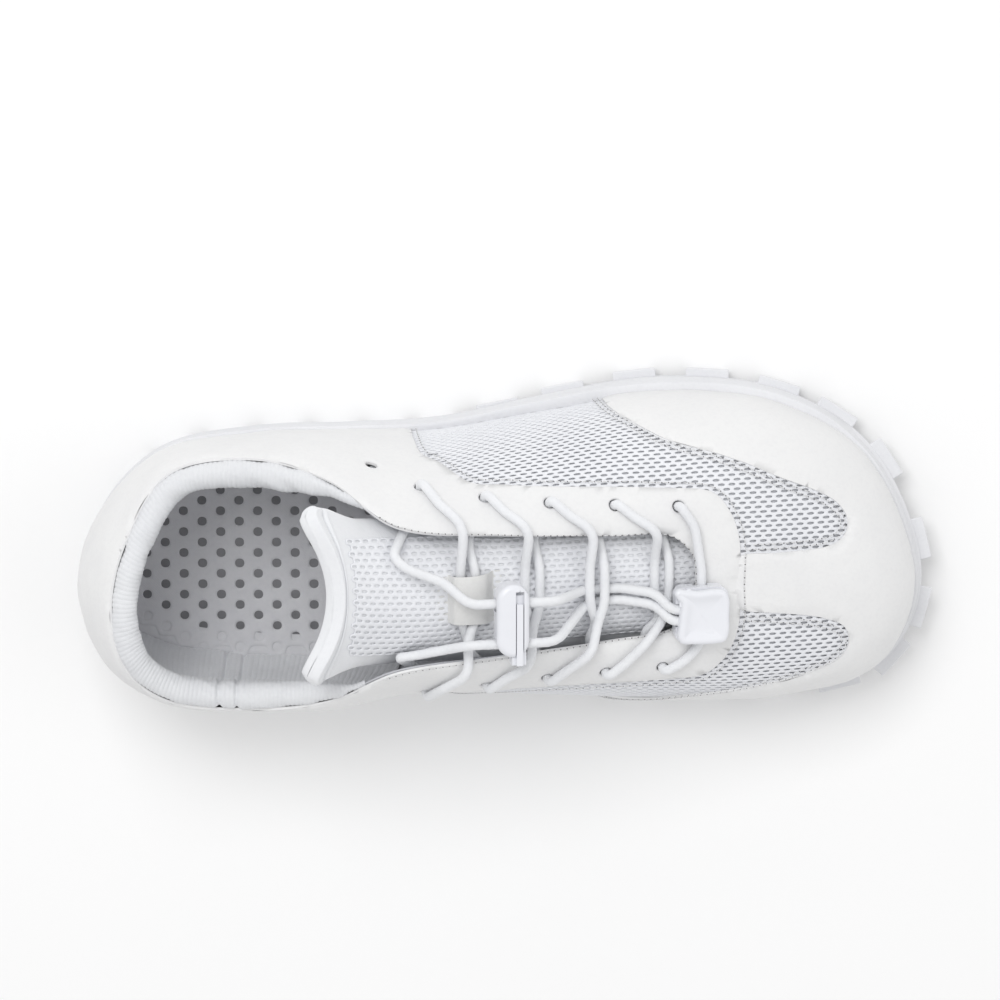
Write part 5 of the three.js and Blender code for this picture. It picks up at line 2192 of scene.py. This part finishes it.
    def path(self) -> Array:
        """The route with its corners rounded, as points close together.

        Returns:
            Points in millimetres.
        """
        knots = self.knots()
        path = [knots[0].point]
        for before, knot, after in zip(knots, knots[1:], knots[2:]):
            back, on = before.point - knot.point, after.point - knot.point
            turn = math.pi - math.acos(float(np.clip(unit(back) @ unit(on), -1, 1)))
            room = 0.48 * min(np.linalg.norm(back), np.linalg.norm(on))
            reach = min(knot.bend * math.tan(turn / 2), room)
            a, b = knot.point + unit(back) * reach, knot.point + unit(on) * reach
            for u in np.linspace(0, 1, 9):
                path.append((1 - u) ** 2 * a + 2 * u * (1 - u) * knot.point + u * u * b)
        path.append(knots[-1].point)
        points = np.array(path)
        keep = np.concatenate([[True], np.linalg.norm(np.diff(points, axis=0), axis=1) > 1e-3])
        points = points[keep]
        along = np.concatenate([[0], np.cumsum(np.linalg.norm(np.diff(points, axis=0), axis=1))])
        even = np.arange(0, along[-1], 0.35)
        dense = np.column_stack([np.interp(even, along, points[:, k]) for k in range(3)])
        smooth = dense.copy()
        for _ in range(6):
            smooth[1:-1] = 0.5 * smooth[1:-1] + 0.25 * (smooth[:-2] + smooth[2:])
        return smooth

    def build(self) -> None:
        """Makes the braided tube."""
        path = self.path()
        LOG.info("lace length %.0f mm", np.sum(np.linalg.norm(np.diff(path, axis=0), axis=1)))
        sides = 16
        way = unit(np.gradient(path, axis=0))
        across = np.zeros_like(path)
        at = np.array([0.13, 0.27, 1.0])
        for i, along in enumerate(way):
            at = at - along * (at @ along)
            at = at / np.linalg.norm(at)
            across[i] = at
        other = np.cross(way, across)
        angle = np.arange(sides) * 2 * math.pi / sides
        step = np.arange(len(path))[:, None] * 0.35
        right = np.sin(4 * angle[None, :] + step * 2.4)
        left = np.sin(4 * angle[None, :] - step * 2.4)
        radius = self.strand_radius * (0.97 + 0.045 * np.maximum(right, left))
        cosine, sine = np.cos(angle)[None, :, None], np.sin(angle)[None, :, None]
        ring = across[:, None, :] * cosine + other[:, None, :] * sine
        points = path[:, None, :] + ring * radius[..., None]
        obj = add_piece("lace_braid", points, tube_faces(len(path), sides), CORD, sharp=180)
        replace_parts(obj, "lace")


# ------------------------------------------------------------------ fittings
@dataclass
class Fittings:
    """The cord lock with its button and spring, and the clip that holds the lace's ends."""

    lace: Lace
    press: float = 2.0

    def soften(self, node: str, finish: Finish, width: float) -> None:
        """Rounds the edges of a hard part and gives it its finish.

        Args:
            node: the part's name in the frame.
            finish: what it is made of.
            width: the rounding in millimetres.
        """
        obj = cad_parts[node]
        obj.data.materials.clear()
        obj.data.materials.append(finish.material())
        obj.data.polygons.foreach_set("use_smooth", [True] * len(obj.data.polygons))
        modify(obj, "WELD", merge_threshold=0.00001)
        modify(obj, "BEVEL", width=width * MM, segments=3, limit_method="ANGLE", angle_limit=math.radians(35))
        modify(obj, "WEIGHTED_NORMAL", keep_sharp=False)

    def spring(self) -> None:
        """Makes the lock's spring, a steel copy of the frame's spring that rides with the lock."""
        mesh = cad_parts["cord_lock_spring"].data.copy()
        mesh.materials.clear()
        mesh.materials.append(STEEL.material())
        spring = bpy.data.objects.new("lock_spring_coil", mesh)
        bpy.context.scene.collection.objects.link(spring)
        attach(spring, "cord_lock")
        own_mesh(spring)
        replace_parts(spring, "cord_lock_spring")

    def outline(self, inset: float) -> Array:
        """The clip cover's outline, with its ear and its hollow edge.

        Args:
            inset: millimetres inside the edge.

        Returns:
            Points along and across, in the clip's own directions.
        """
        shape = [
            [8.1, 0], [8.0, 5.6], [6.6, 8.1], [3.2, 8.6], [-1.5, 8.2], [-5.0, 8.6], [-8.0, 9.0],
            [-9.2, 7.6], [-8.4, 5.9], [-7.2, 4.2], [-7.5, 0.5], [-7.9, -3.5], [-8.1, -6.4], [-6.8, -8.3],
            [-3, -8.7], [3.4, -8.7], [6.8, -8.0], [8.0, -5.4],
        ]
        curve = SmoothCurve([[x, y, 0] for x, y in shape], closed=True)
        u = np.arange(96) / 96
        way = curve.way(u)
        inward = np.stack([-way[:, 1], way[:, 0]], axis=1)
        return curve.at(u)[:, :2] + inward * inset

    def cover(self) -> None:
        """The clip's dished cover."""
        profile = [
            (0.35, 0.2), (0.0, 0.6), (0.0, 2.2), (0.3, 3.0), (0.9, 3.4), (1.7, 3.45), (2.6, 3.1),
            (3.6, 2.75), (4.8, 2.6), (6.2, 2.55),
        ]
        rings = []
        for inset, z in profile:
            flat = self.outline(inset)
            rings.append([
                self.lace.tilted(self.lace.clip_centre, self.lace.clip_pitch, (x, y, z)) for x, y in flat
            ])
        faces = tube_faces(len(profile), 96)
        obj = add_piece("clip_cover", np.array(rings), faces, PLASTIC, "clip_cover", 50)
        tidy_normals(obj)
        modify(obj, "SUBSURF", levels=1, render_levels=1)
        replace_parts(obj, "cord_end_cover")

    def build(self) -> None:
        """Finishes the hard parts."""
        self.soften("cord_lock_body", PLASTIC, 0.45)
        self.soften("cord_lock_plunger", PLASTIC, 0.4)
        self.soften("cord_end_base", PLASTIC, 0.4)
        self.spring()
        self.cover()


# ------------------------------------------------------------------ camera, light and floor
@dataclass
class Studio:
    """A pale sweep under soft light, seen from above and a little to the outer side."""

    tilt: float = math.radians(12)
    distance: float = 1.5
    lens: float = 168.9
    target: tuple[float, float, float] = (134.0, 14.8, 0.0)

    def camera(self) -> None:
        """Makes the camera."""
        data = bpy.data.cameras.new("camera")
        data.lens = self.lens
        data.clip_start, data.clip_end = 0.05, 20
        camera = bpy.data.objects.new("camera", data)
        bpy.context.scene.collection.objects.link(camera)
        back = Vector((0, math.sin(self.tilt), math.cos(self.tilt)))
        up = Vector((0, math.cos(self.tilt), -math.sin(self.tilt)))
        turn = Matrix((Vector((1, 0, 0)), up, back)).transposed().to_4x4()
        camera.matrix_world = Matrix.Translation(Vector(in_frame(self.target)) + back * self.distance) @ turn
        bpy.context.scene.camera = camera

    def lamp(self, name: str, place: tuple[float, float, float], size: float, watts: float) -> None:
        """Makes a square lamp that faces the shoe.

        Args:
            name: its name.
            place: where it stands, in metres.
            size: its side in metres.
            watts: its power.
        """
        data = bpy.data.lights.new(name, "AREA")
        data.size, data.energy = size, watts
        lamp = bpy.data.objects.new(name, data)
        bpy.context.scene.collection.objects.link(lamp)
        lamp.location = place
        lamp.rotation_euler = (-Vector(place)).to_track_quat("-Z", "Y").to_euler()

    def floor(self) -> None:
        """Makes the floor."""
        mesh = bpy.data.meshes.new("floor")
        half = 3.0
        corners = [(-half, -half, 0), (half, -half, 0), (half, half, 0), (-half, half, 0)]
        mesh.from_pydata(corners, [], [(0, 1, 2, 3)])
        floor = bpy.data.objects.new("floor", mesh)
        bpy.context.scene.collection.objects.link(floor)
        tree = Tree("paper")
        colour = tree.two_colours((0.93, 0.93, 0.93), (0.91, 0.91, 0.91), tree.noise(6))
        mesh.materials.append(tree.finish(Base_Color=colour, Roughness=0.9))

    def build(self) -> None:
        """Makes the camera, lamps, floor and surrounding light."""
        self.camera()
        self.floor()
        self.lamp("key", (-0.35, 0.75, 1.3), 0.7, 9)
        self.lamp("fill", (0.9, 0.1, 1.1), 1.0, 2)
        world = bpy.data.worlds.new("surround")
        world.use_nodes = True
        background = world.node_tree.nodes["Background"]
        background.inputs["Color"].default_value = (1, 1, 1, 1)
        background.inputs["Strength"].default_value = 0.72
        bpy.context.scene.world = world
        bpy.context.scene.view_settings.view_transform = "Standard"


def main() -> None:
    """Builds the shoe and its studio."""
    logging.basicConfig(level=logging.INFO, format="%(name)s: %(message)s")
    studio = Studio()
    studio.build()
    LOG.info("studio done")
    Sole().build()
    LOG.info("sole done")
    Vamp().build()
    LOG.info("vamp done")
    Leather().build()
    LOG.info("leather done")
    Collar().build()
    LOG.info("collar done")
    tongue = Tongue()
    tongue.build()
    LOG.info("tongue done")
    lace = Lace(tongue)
    lace.build()
    Fittings(lace).build()
    LOG.info("fittings done")


if __name__ == "__main__":
    main()
